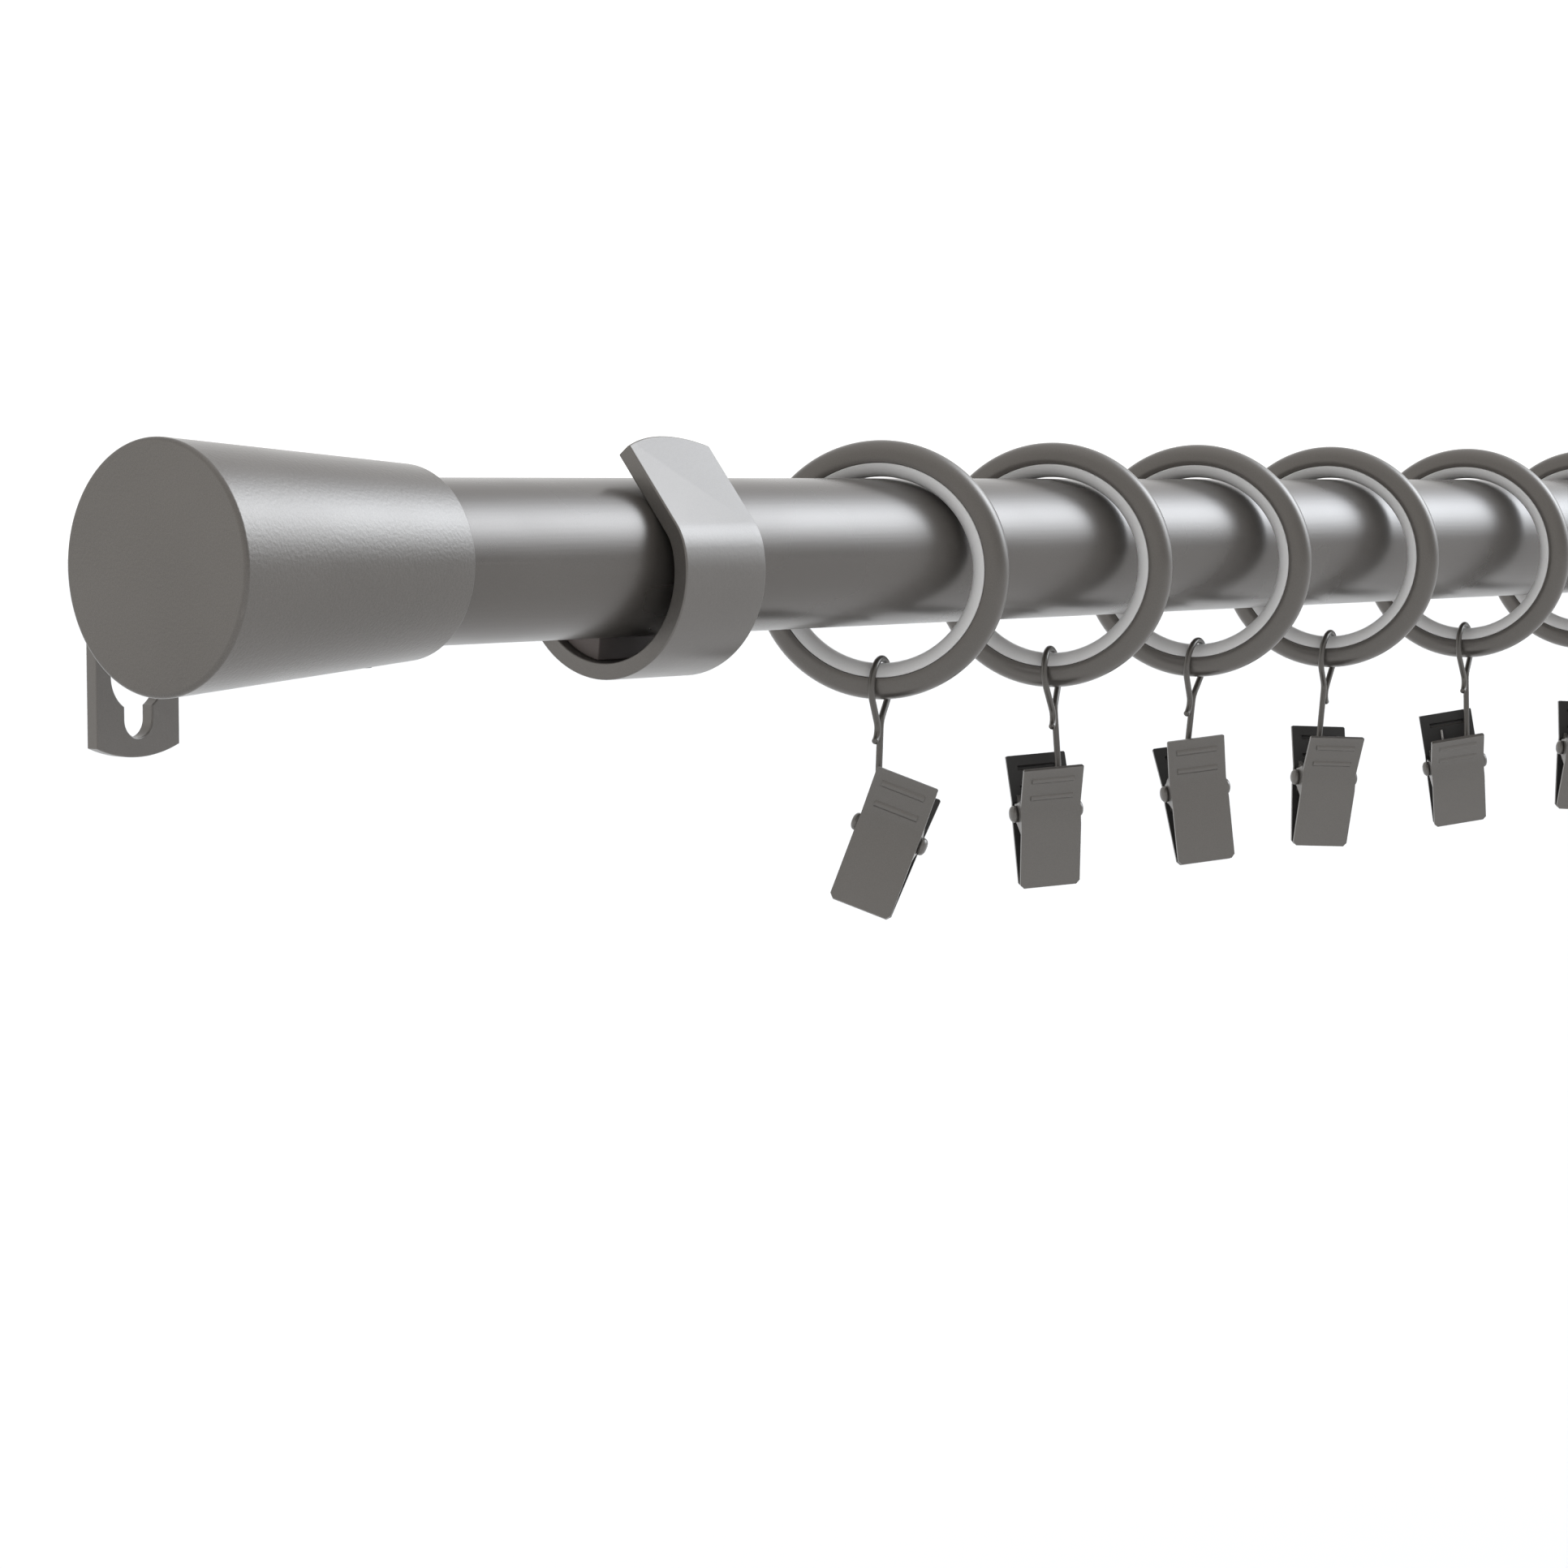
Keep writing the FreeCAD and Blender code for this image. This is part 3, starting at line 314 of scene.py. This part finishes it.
def plate(outline, holes, half, edge, cuts_x=(), cuts_y=()):
    """flat sheet in X-Y, thickness along Z, every edge rounded, cut into bands so it can be bent"""
    cu = bpy.data.curves.new("outline", "CURVE")
    cu.dimensions = "2D"
    cu.fill_mode = "BOTH"
    cu.extrude = half - edge
    cu.bevel_depth = edge
    cu.bevel_resolution = 2
    cu.offset = -edge

    def area(pts):
        return sum(pts[i][0] * pts[(i + 1) % len(pts)][1] - pts[(i + 1) % len(pts)][0] * pts[i][1] for i in range(len(pts)))
    for k, pts in enumerate([outline] + list(holes)):
        if (area(pts) > 0) != (k == 0):
            pts = pts[::-1]
        sp = cu.splines.new("POLY")
        sp.points.add(len(pts) - 1)
        for q, p in zip(sp.points, pts):
            q.co = (p[0], p[1], 0, 1)
        sp.use_cyclic_u = True
    ob = bpy.data.objects.new("outline", cu)
    bpy.context.scene.collection.objects.link(ob)
    bpy.context.view_layer.update()
    mesh = bpy.data.meshes.new_from_object(ob)
    bpy.data.objects.remove(ob)
    bpy.data.curves.remove(cu)
    bm = bmesh.new()
    bm.from_mesh(mesh)
    bpy.data.meshes.remove(mesh)
    bmesh.ops.remove_doubles(bm, verts=bm.verts, dist=1e-4)
    bmesh.ops.dissolve_limit(bm, angle_limit=0.005, verts=bm.verts, edges=bm.edges)
    for axis, cuts in (("x", cuts_x), ("y", cuts_y)):
        for c in cuts:
            co = (c, 0, 0) if axis == "x" else (0, c, 0)
            no = (1, 0, 0) if axis == "x" else (0, 1, 0)
            bmesh.ops.bisect_plane(bm, geom=bm.verts[:] + bm.edges[:] + bm.faces[:], plane_co=co, plane_no=no, dist=1e-5)
    return bm


class Bent:
    """a centre line of straight and round runs; at(s) gives the point and its side"""

    def __init__(self, pts):
        self.p = [Vector((a, b)) for a, b in pts]
        self.s = [0.0]
        for i in range(1, len(self.p)):
            self.s.append(self.s[-1] + (self.p[i] - self.p[i - 1]).length)
        self.length = self.s[-1]
        n = len(self.p)
        self.n = []
        for i in range(n):
            d = Vector((0, 0))
            if i > 0:
                d += (self.p[i] - self.p[i - 1]).normalized()
            if i < n - 1:
                d += (self.p[i + 1] - self.p[i]).normalized()
            d.normalize()
            self.n.append(Vector((-d.y, d.x)))

    def at(self, s):
        i = 0
        while i < len(self.s) - 2 and self.s[i + 1] < s:
            i += 1
        f = (s - self.s[i]) / (self.s[i + 1] - self.s[i])
        p = self.p[i].lerp(self.p[i + 1], f)
        g = min(1.0, max(0.0, f))
        n = self.n[i].lerp(self.n[i + 1], g).normalized()
        return p, n

    def stations(self):
        """where the line turns, so the sheet is cut there before it is bent"""
        out = []
        for i in range(1, len(self.p) - 1):
            a = (self.p[i] - self.p[i - 1]).normalized()
            b = (self.p[i + 1] - self.p[i]).normalized()
            if a.angle(b) > 1e-4:
                out.append(self.s[i])
        return out


def end_curve(x_tip, side, half_w, sag, n=18):
    rad = (half_w * half_w + sag * sag) / (2 * sag)
    c = x_tip - side * rad
    a = math.degrees(math.asin(half_w / rad))
    if side > 0:
        return [(c + rad * math.cos(math.radians(t)), rad * math.sin(math.radians(t)))
                for t in [-a + 2 * a * k / n for k in range(n + 1)]]
    return [(c - rad * math.cos(math.radians(t)), -rad * math.sin(math.radians(t)))
            for t in [-a + 2 * a * k / n for k in range(n + 1)]]


# ------------------------------------------------------------------ sizes (mm)
YR, ZR, HALF = -134.0, 11.5, 450.0
ROD_R, ROD_IN, ROD_LEN = 14.0, 13.0, 869.5
T, W, SAG = 3.0, 22.0, 2.2
CR, CD, RN = 16.2, 2.2, 8.0
LIP_GAP, LIP_ANG, LIP_REACH = 14.02, 51.9, 13.9
BI, BO, BEND_DROP, TAIL_REACH, CLAMP_Y = 3.0, 6.0, 4.5, 60.0, 45.0
RING_R, RING_T, RING_Z = 21.3, 3.5, 8.0
SEAM, SEAM_GAP = 0.85, 0.01
RINGS = [
    # x, ring turn, hook heading, hook tilt, clip heading, clip tilt, clip lean, eye place, hook turned round
    (-263.0, 27.5, 17.0, 2.0, 29.0, 20.5, 14.0, 2.6, False),
    (-205.0, 23.0, 18.6, -4.0, 49.2, -4.5, -7.2, -3.1, False),
    (-150.0, 21.0, 11.7, 6.1, 46.6, -6.8, 10.3, 2.8, False),
    (-94.0, 17.5, 13.5, 5.0, 48.2, 2.2, -6.0, 2.0, True),
    (-30.0, 15.6, 12.0, -1.5, 38.0, -9.5, -22.0, -3.0, False),
    (32.0, 12.8, 14.0, 0.0, 44.0, 3.0, -8.0, 1.0, False),
]


def rot(axis, deg):
    return Matrix.Rotation(math.radians(deg), 4, axis)


def at(x, y, z):
    return Matrix.Translation((x, y, z))


BODY = {n: b for b, ns in frame["record"]["behaviour"]["bodies"].items() for n in ns} \
    if isinstance(frame["record"]["behaviour"]["bodies"], dict) else \
    {n: b["name"] for b in frame["record"]["behaviour"]["bodies"] for n in b["nodes"]}


def piece(name, bm, node_name, matrix=None, sharp=38.0):
    return finish_mesh(name, bm, mat_of(node_name), matrix, [node_name], BODY[node_name], sharp)


# ------------------------------------------------------------------ pole and finials
e = 0.15
L = ROD_LEN / 2
bm = lathe([(-L, ROD_IN + e), (-L, ROD_R - e), (-L + e, ROD_R)] + [(-L + ROD_LEN * k / 24.0, ROD_R) for k in range(1, 24)]
           + [(L - e, ROD_R), (L, ROD_R - e), (L, ROD_IN + e), (L - e, ROD_IN), (-L + e, ROD_IN)], 192)
piece("pole", bm, "rod_tube", at(0, YR, ZR))


def round_corner(p0, p1, p2, r, n=8):
    a, b, c = Vector(p0), Vector(p1), Vector(p2)
    u0, u1 = (a - b).normalized(), (c - b).normalized()
    half = u0.angle(u1) / 2
    d = r / math.tan(half)
    centre = b + (u0 + u1).normalized() * (r / math.sin(half))
    s, t = b + u0 * d, b + u1 * d
    a0 = math.atan2(s.y - centre.y, s.x - centre.x)
    a1 = math.atan2(t.y - centre.y, t.x - centre.x)
    while a1 - a0 > math.pi:
        a1 -= 2 * math.pi
    while a1 - a0 < -math.pi:
        a1 += 2 * math.pi
    return [(centre.x + r * math.cos(a0 + (a1 - a0) * k / n), centre.y + r * math.sin(a0 + (a1 - a0) * k / n))
            for k in range(n + 1)]


def carve(bm, cutter):
    """takes the cutter mesh out of bm"""
    ma, mb = bpy.data.meshes.new("carve_a"), bpy.data.meshes.new("carve_b")
    bmesh.ops.recalc_face_normals(bm, faces=bm.faces)
    bmesh.ops.recalc_face_normals(cutter, faces=cutter.faces)
    bm.to_mesh(ma)
    cutter.to_mesh(mb)
    oa, ob = bpy.data.objects.new("carve_a", ma), bpy.data.objects.new("carve_b", mb)
    for o in (oa, ob):
        bpy.context.scene.collection.objects.link(o)
    md = oa.modifiers.new("cut", "BOOLEAN")
    md.operation = "DIFFERENCE"
    md.solver = "EXACT"
    md.object = ob
    bpy.context.view_layer.update()
    res = bpy.data.meshes.new_from_object(oa.evaluated_get(bpy.context.evaluated_depsgraph_get()))
    out = bmesh.new()
    out.from_mesh(res)
    for o in (oa, ob):
        bpy.data.objects.remove(o)
    for m in (ma, mb, res):
        bpy.data.meshes.remove(m)
    bm.free()
    cutter.free()
    return out


for side, sgn in (("left", -1), ("right", 1)):
    fr, nr, ln, br, bd, cr, fw = 20.26, 16.28, 55.25, 14.05, 40.0, 13.0, 3.75
    prof = [(0.0, 0.0), (0.0, fr * 0.33), (0.0, fr * 0.66)]
    prof += round_corner((0, 0), (0, fr), (ln, nr), 0.8, 10)
    a, b = prof[-1], None
    for k in range(1, 10):
        f = k / 10.0
        prof.append((a[0] + (ln - 0.35 - a[0]) * f, a[1] + (nr + 0.03 - a[1]) * f))
    prof += round_corner((0, fr), (ln, nr), (ln, br), 0.35, 6)
    prof += round_corner((ln, nr), (ln, br), (ln - bd, br), 0.25, 4)
    prof += [(ln - bd, br), (ln - bd, cr), (fw, cr), (fw, 0.0)]
    bm = lathe(prof, 192, closed=False)
    hole = wire([(45.0, 0.0, -12.0), (45.0, 0.0, -24.0)], 2.0, 40, round_end=False)
    bm = carve(bm, hole)
    piece("finial_turned_" + side, bm, "finial_" + side,
          at(sgn * HALF, YR, ZR) @ rot("Z", 0 if sgn < 0 else 180), 30.0)

# ------------------------------------------------------------------ strip steel of the brackets


def strip_outline(length, half_w, n=22):
    rad = (half_w ** 2 + SAG ** 2) / (2 * SAG)
    xs = [-half_w + 2 * half_w * k / n for k in range(n + 1)]
    low = [(x, rad - math.sqrt(rad * rad - x * x)) for x in xs]
    high = [(x, length - (rad - math.sqrt(rad * rad - x * x))) for x in reversed(xs)]
    return low + high


def bend_strip(name, node_name, line, holes, x0, origin=(0.0, 0.0)):
    """line is the middle of the strip in (y, z); holes are outlines in (x, distance along it)"""
    b = Bent(line)
    cuts = b.stations()
    bm = plate(strip_outline(b.length, W / 2), holes, T / 2, 0.35, (), cuts)
    for v in bm.verts:
        p, nrm = b.at(v.co.y)
        q = p + nrm * v.co.z
        v.co = (v.co.x + x0, q.x + origin[0], q.y + origin[1])
    return piece(name, bm, node_name, None, 30.0)


lip_n, lip_d = u2(90 + LIP_ANG), u2(LIP_ANG)
cosd = (LIP_GAP + CD * lip_n[1] - RN) / (CR - RN)
nose_a = 90 + LIP_ANG + math.degrees(math.acos(cosd))
NC = ((CR - RN) * u2(nose_a)[0], -CD + (CR - RN) * u2(nose_a)[1])
bend_a = -math.degrees(math.asin((BEND_DROP - CD) / (CR + T + BI)))
BC = ((CR + T + BI) * u2(bend_a)[0], -CD + (CR + T + BI) * u2(bend_a)[1])
TAIL_LOW = BC[1] + BI
ARM_TOP = TAIL_LOW
mid = LIP_GAP + T / 2
lip_end = (lip_n[0] * mid + lip_d[0] * LIP_REACH, lip_n[1] * mid + lip_d[1] * LIP_REACH)
cradle_line = joined(
    [lip_end],
    arc(NC[0], NC[1], RN + T / 2, 90 + LIP_ANG, nose_a, 3.0),
    arc(0, -CD, CR + T / 2, nose_a, 360 + bend_a, 3.0),
    arc(BC[0], BC[1], (BI + BO) / 2, 180 + bend_a, 90, 4.0),
    [(TAIL_REACH, TAIL_LOW + T / 2)])
top = ZR + ARM_TOP
near, zl = YR + 23.6, -29.7
wall_line = joined([(near, top - T / 2)], arc(-BO, top - BO, (BI + BO) / 2, 90, 0, 4.0), [(-T / 2, zl)])

for side, x0 in (("left", -333.5), ("right", 333.5)):
    b = Bent(cradle_line)
    s_hole = b.length - (TAIL_REACH - CLAMP_Y)
    bend_strip("cradle_strip_" + side, "cradle_" + side, cradle_line,
               [arc(0, s_hole, 2.65, 0, 351, 9.0)], x0, (YR, ZR))
    b = Bent(wall_line)
    s_slot = YR + CLAMP_Y - near
    slot = arc(0, s_slot + 12.0, 2.65, 0, 180, 9.0) + arc(0, s_slot - 12.0, 2.65, 180, 360, 9.0)

    def s_of(z):
        return b.length - (z - zl)
    rs, rh, zh, zs = 3.6, 7.0, -13.5, -22.2
    al = math.degrees(math.asin(rs / rh))
    key = [(p[0], s_of(p[1])) for p in arc(0, zh, rh, -90 + al, 270 - al, 6.0) + arc(0, zs, rs, -180, 0, 9.0)]
    rnd = [(p[0], s_of(p[1])) for p in arc(0, 0, 2.5, 0, 351, 9.0)]
    bend_strip("wall_strip_" + side, "wall_bracket_" + side, wall_line, [slot, key, rnd], x0)

# ------------------------------------------------------------------ rings, hooks, pins, springs


def inner_tangent(c1, r1, c2, r2, pick):
    dx, dy = c1[0] - c2[0], c1[1] - c2[1]
    d = math.hypot(dx, dy)
    base = math.atan2(pick * dy, pick * dx)
    turn = math.acos((r1 + r2) / d)
    for s in (1, -1):
        ev = (math.cos(base + s * turn), math.sin(base + s * turn))
        if ev[0] > 0.3:
            break
    return ((c1[0] - pick * r1 * ev[0], c1[1] - pick * r1 * ev[1]),
            (c2[0] + pick * r2 * ev[0], c2[1] + pick * r2 * ev[1]))


def ang2(c, p):
    return math.degrees(math.atan2(p[1] - c[1], p[0] - c[0]))


HOOK_L = 28.6


def hook_path(yaw):
    """the wire's middle line, from the curled free end over the ring and down to the eye"""
    rho, xs, drop = 5.1, 0.75, 0.75
    lc = (0.0, -drop)
    rf, rs = 2.5, 3.5
    K, B = (-xs - rf, -9.3), (xs + rs, -9.0)
    pl, pk = inner_tangent(lc, rho, K, rf, 1)
    pr, pb = inner_tangent(lc, rho, B, rs, -1)
    al = ang2(lc, pl)
    al = al + 360 if al < 0 else al
    ar = ang2(lc, pr)
    ab = ang2(B, pb)
    ab = ab + 360 if ab < 0 else ab
    up = joined(arc(K[0], K[1], rf, -65.0, ang2(K, pk), 8.0), [pk, pl], arc(lc[0], lc[1], rho, al, ar, 6.0),
                [pr, pb], arc(B[0], B[1], rs, ab, 180.0, 8.0), [(xs, -12.0), (xs, -15.0), (xs, -17.0)])
    re_, rb = 1.8, 2.0
    ze = -HOOK_L
    zs_ = ze + math.sqrt((re_ + rb) ** 2 - rb ** 2)
    S2, P = (rb, zs_), (0.0, ze)
    tp = (S2[0] + rb * (P[0] - S2[0]) / (re_ + rb), S2[1] + rb * (P[1] - S2[1]) / (re_ + rb))
    down = joined([(0, -20.0), (0, zs_)],
                  arc(S2[0], S2[1], rb, 180.0, 180.0 + math.degrees(math.acos(rb / (rb + re_))), 6.0),
                  arc(P[0], P[1], re_, ang2(P, tp), -235.0, 9.0))
    c, s = math.cos(math.radians(yaw)), math.sin(math.radians(yaw))
    return [(p[0], 0.0, p[1]) for p in up] + [(xs + c * p[0], s * p[0], p[1]) for p in down]


def spring_path():
    rc, pt, y0, leg = 1.6, 0.62, -3.75, 8.6
    lean = math.atan2(7.3 - 3.45, 10.5 - 1.8)
    sweep = 7 * math.pi - 2 * lean
    per = pt / (2 * math.pi)
    cl, sl = math.cos(lean), math.sin(lean)
    out = [(rc * cl + s * sl, y0 - s * 0.012, -rc * sl + s * cl) for s in (leg, leg * 0.75, leg * 0.5, leg * 0.25)]
    n = 132
    for k in range(n + 1):
        a = lean + sweep * k / n
        out.append((rc * math.cos(a), y0 + per * sweep * k / n, -rc * math.sin(a)))
    y1 = y0 + per * sweep
    out += [(-rc * cl - s * sl, y1 + s * 0.012, -rc * sl + s * cl) for s in (leg * 0.25, leg * 0.5, leg * 0.75, leg)]
    return out


def pin_profile():
    r, h, ln, inner = 0.8, 1.75, 7.7, 6.3
    half = [(inner, r), (inner, h - 0.12), (inner + 0.12, h)]
    n = 7
    for k in range(0, n + 1):
        a = math.radians(90.0 * k / n)
        half.append((ln - 0.95 + 0.95 * math.sin(a), 0.35 + (h - 0.35) * math.cos(a)))
    half.append((ln, 0.0))
    return [(-x, y) for x, y in reversed(half)] + half


def ring_outline(liner):
    """half of the ring's round section, with the seam's edges broken"""
    depth = SEAM + (SEAM_GAP if liner else 0.0)
    a = math.degrees(math.asin(depth / RING_T))
    step = 2.6                      # degrees of the round taken off at the seam
    lo, hi = (180 + a + step, 360 - a - step) if liner else (-a + step, 180 + a - step)
    n = 20 if liner else 34
    pts = []
    for k in range(n + 1):
        t = math.radians(lo + (hi - lo) * k / n)
        pts.append((RING_T * math.cos(t), RING_R + RING_T * math.sin(t)))
    w = RING_T * math.cos(math.radians(a))
    edge = 0.20
    if liner:
        return pts + [(w - edge, RING_R - depth), (-w + edge, RING_R - depth)]
    return pts + [(-w + edge, RING_R - depth), (w - edge, RING_R - depth)]


CLIP_AT = {}
for i, (x, psi, eta, kap, head, tau, lean, eye, flip) in enumerate(RINGS, 1):
    # ring: metal outside the seam, moulded liner inside it
    r_pl = at(x, YR, RING_Z) @ rot("Z", psi)
    piece("ring_metal_%d" % i, lathe(ring_outline(False), 176), "ring_%d" % i, r_pl, 40.0)
    piece("ring_lining_%d" % i, lathe(ring_outline(True), 176), "ring_liner_%d" % i, r_pl, 40.0)
    # hook
    h_rot = rot("Z", eta) @ rot("X", kap)
    if flip:
        h_rot = h_rot @ rot("Z", 180)
    h_pl = at(x, YR, RING_Z - RING_R) @ h_rot
    piece("hook_wire_%d" % i, wire(hook_path(head - eta), 0.65, 20), "hook_%d" % i, h_pl, 60.0)
    # clip
    eye_at = h_pl @ Vector((0.75, 0, -HOOK_L))
    c_rot = rot("Z", head) @ rot("X", tau) @ rot("Y", lean)
    axis = c_rot.to_3x3() @ Vector((0, 1, 0))
    centre = eye_at - axis * eye
    cp = Matrix.Translation(centre) @ c_rot
    CLIP_AT[i] = cp
    piece("pin_turned_%d" % i, lathe(pin_profile(), 32, closed=False), "clip_pin_%d" % i, cp @ rot("Z", 90), 45.0)
    sp = cp if eye >= 0 else cp @ rot("Z", 180)
    # the coil turns about the pin; the opening jaw and two points either side of the pin are found, but the spring is
    # only baked in place and does not go with that jaw
    moving = "clip_front_%d" % i if lean < 0 else "clip_back_%d" % i
    across = c_rot.to_3x3() @ Vector((1, 0, 0))
    jaw_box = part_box(moving)
    jaw_mid = (Vector(jaw_box[0]) + Vector(jaw_box[1])) / 2
    if (jaw_mid - centre * MM).dot(across) < 0:
        across = -across
    pair = ("clip_body_%d" % i, "jaw_body_%d" % i, (centre - across * 0.9) * MM, (centre + across * 0.9) * MM)
    node_name = "clip_spring_%d" % i
    finish_mesh("spring_wire_%d" % i, wire(spring_path(), 0.3, 10), mat_of(node_name), sp, [node_name], pair,
                60.0)

# ------------------------------------------------------------------ small parts: welded, with broken edges


def refine(node_name, width, segs=2, angle=32.0, frame_of=None, inside=None):
    """a welded copy of the node with its sharp edges rounded; where frame_of is given,
    the faces that look towards its YZ plane get the inside material, a near-black painted shade standing in for the
    shadow between the jaws"""
    src = frame["nodes"][node_name]
    bm = bmesh.new()
    bm.from_mesh(src.data)
    bm.transform(src.matrix_world)
    bmesh.ops.remove_doubles(bm, verts=bm.verts, dist=1e-6)
    bmesh.ops.dissolve_limit(bm, angle_limit=math.radians(0.6), verts=bm.verts, edges=bm.edges)
    mesh = bpy.data.meshes.new(node_name + "_fine")
    bmesh.ops.recalc_face_normals(bm, faces=bm.faces)
    bm.to_mesh(mesh)
    bm.free()
    mesh.shade_smooth()
    mesh.set_sharp_from_angle(angle=math.radians(angle))
    mesh.materials.clear()
    mesh.materials.append(mat_of(node_name))
    # painted shade: faces that look into the clip get the near-black material, for the shadow between the jaws
    if frame_of is not None:
        mesh.materials.append(inside)
        inv = (Matrix.Scale(MM, 4) @ frame_of).inverted()
        turn = frame_of.to_3x3().inverted()
        for f in mesh.polygons:
            c = inv @ f.center
            d = (turn @ f.normal).x
            if c.x * d < 0 and abs(d) > 0.6:
                f.material_index = 1
    ob = bpy.data.objects.new(node_name + "_fine", mesh)
    bpy.context.scene.collection.objects.link(ob)
    md = ob.modifiers.new("edges", "BEVEL")
    md.width = width * MM
    md.segments = segs
    md.limit_method = "ANGLE"
    md.angle_limit = math.radians(angle)
    md.harden_normals = True
    md.use_clamp_overlap = True
    md = ob.modifiers.new("normals", "WEIGHTED_NORMAL")
    md.keep_sharp = True
    md.weight = 80
    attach(ob, BODY[node_name])
    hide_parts(node_name)
    return ob


for node_name in sorted(frame["nodes"]):
    if node_name.startswith("clip_front") or node_name.startswith("clip_back"):
        # the clip jaws get the near-black painted shade on their inner faces
        refine(node_name, 0.14, 2, frame_of=CLIP_AT[int(node_name.rsplit("_", 1)[1])], inside=MATS["clip_painted_shade"])
    elif node_name.startswith("cradle_pad"):
        refine(node_name, 0.30, 3)
    elif node_name.startswith(("clamp_", "finial_screw")):
        refine(node_name, 0.12, 2)

# ------------------------------------------------------------------ studio

def studio():
    mesh = bpy.data.meshes.new("floor")
    bm = bmesh.new()
    s = 14.0
    z = -0.34
    vs = [bm.verts.new(v) for v in ((-s, -s, z), (s, -s, z), (s, s, z), (-s, s, z))]
    bm.faces.new(vs)
    bm.to_mesh(mesh)
    bm.free()
    floor = bpy.data.objects.new("floor", mesh)
    bpy.context.scene.collection.objects.link(floor)
    m = bpy.data.materials.new("floor_paper")
    m.use_nodes = True
    nt = m.node_tree
    p = nt.nodes["Principled BSDF"]
    n = node(nt, "ShaderNodeTexNoise", -500, 0)
    n.inputs["Scale"].default_value = 3.0
    r = node(nt, "ShaderNodeValToRGB", -280, 0)
    r.color_ramp.elements[0].color = (0.78, 0.78, 0.78, 1)
    r.color_ramp.elements[1].color = (0.80, 0.80, 0.80, 1)
    nt.links.new(n.outputs["Fac"], r.inputs["Fac"])
    nt.links.new(r.outputs["Color"], p.inputs["Base Color"])
    p.inputs["Roughness"].default_value = 0.9
    mesh.materials.append(m)

    w = bpy.data.worlds.new("studio")
    w.use_nodes = True
    bpy.context.scene.world = w
    nt = w.node_tree
    nt.nodes.clear()
    out = node(nt, "ShaderNodeOutputWorld", 900, 0)
    bg = node(nt, "ShaderNodeBackground", 700, 0)
    nt.links.new(bg.outputs["Background"], out.inputs["Surface"])
    tc = node(nt, "ShaderNodeTexCoord", -900, 0)
    total = None
    # each soft patch of light: direction, how narrow, colour times strength
    y = 400
    for (dx, dy, dz), sharp, tint in LOBES:
        v = Vector((dx, dy, dz)).normalized()
        dot = node(nt, "ShaderNodeVectorMath", -600, y, operation="DOT_PRODUCT")
        nt.links.new(tc.outputs["Generated"], dot.inputs[0])
        dot.inputs[1].default_value = v
        mx = node(nt, "ShaderNodeMath", -400, y, operation="MAXIMUM")
        nt.links.new(dot.outputs["Value"], mx.inputs[0])
        mx.inputs[1].default_value = 0.0
        pw = node(nt, "ShaderNodeMath", -200, y, operation="POWER")
        nt.links.new(mx.outputs["Value"], pw.inputs[0])
        pw.inputs[1].default_value = sharp
        sc = node(nt, "ShaderNodeVectorMath", 0, y, operation="SCALE")
        sc.inputs[0].default_value = tint
        nt.links.new(pw.outputs["Value"], sc.inputs["Scale"])
        ad = node(nt, "ShaderNodeVectorMath", 200, y, operation="ADD")
        nt.links.new(sc.outputs["Vector"], ad.inputs[0])
        if total is None:
            ad.inputs[1].default_value = BASE_LIGHT
        else:
            nt.links.new(total, ad.inputs[1])
        total = ad.outputs["Vector"]
        y -= 180
    nt.links.new(total, bg.inputs["Color"])
    bg.inputs["Strength"].default_value = 1.0


BASE_LIGHT = (0.60, 0.595, 0.59)
LOBES = [
    # direction, how narrow, colour times strength
    ((0.787, 0.617, 0.02), 4.0, (0.64, 0.64, 0.64)),      # the bright wall behind the object
    ((0.787, -0.36, 0.50), 20.0, (6.7, 7.2, 7.8)),        # soft key from the right, in front, above
    ((-0.787, 0.617, 0.0), 4.0, (0.75, 0.75, 0.73)),      # the wall to the left
    ((-0.787, -0.617, 0.08), 3.0, (0.34, 0.335, 0.33)),   # the room on the viewer's side
    ((0.0, 0.0, 1.0), 3.0, (0.62, 0.62, 0.62)),           # overhead softbox
]
studio()

bpy.context.scene.view_settings.view_transform = "Standard"

cam = bpy.data.cameras.new("camera")
cam.lens = 89.85
cam.sensor_width = 36.0
cam.clip_start = 0.02
cam.clip_end = 60.0
cam_o = bpy.data.objects.new("camera", cam)
cam_o.location = (-0.8645, -0.5823, 0.0243)
cam_o.rotation_euler = (math.radians(90 - 4.375), 0.0, math.radians(38.113 - 90))
bpy.context.scene.collection.objects.link(cam_o)
bpy.context.scene.camera = cam_o
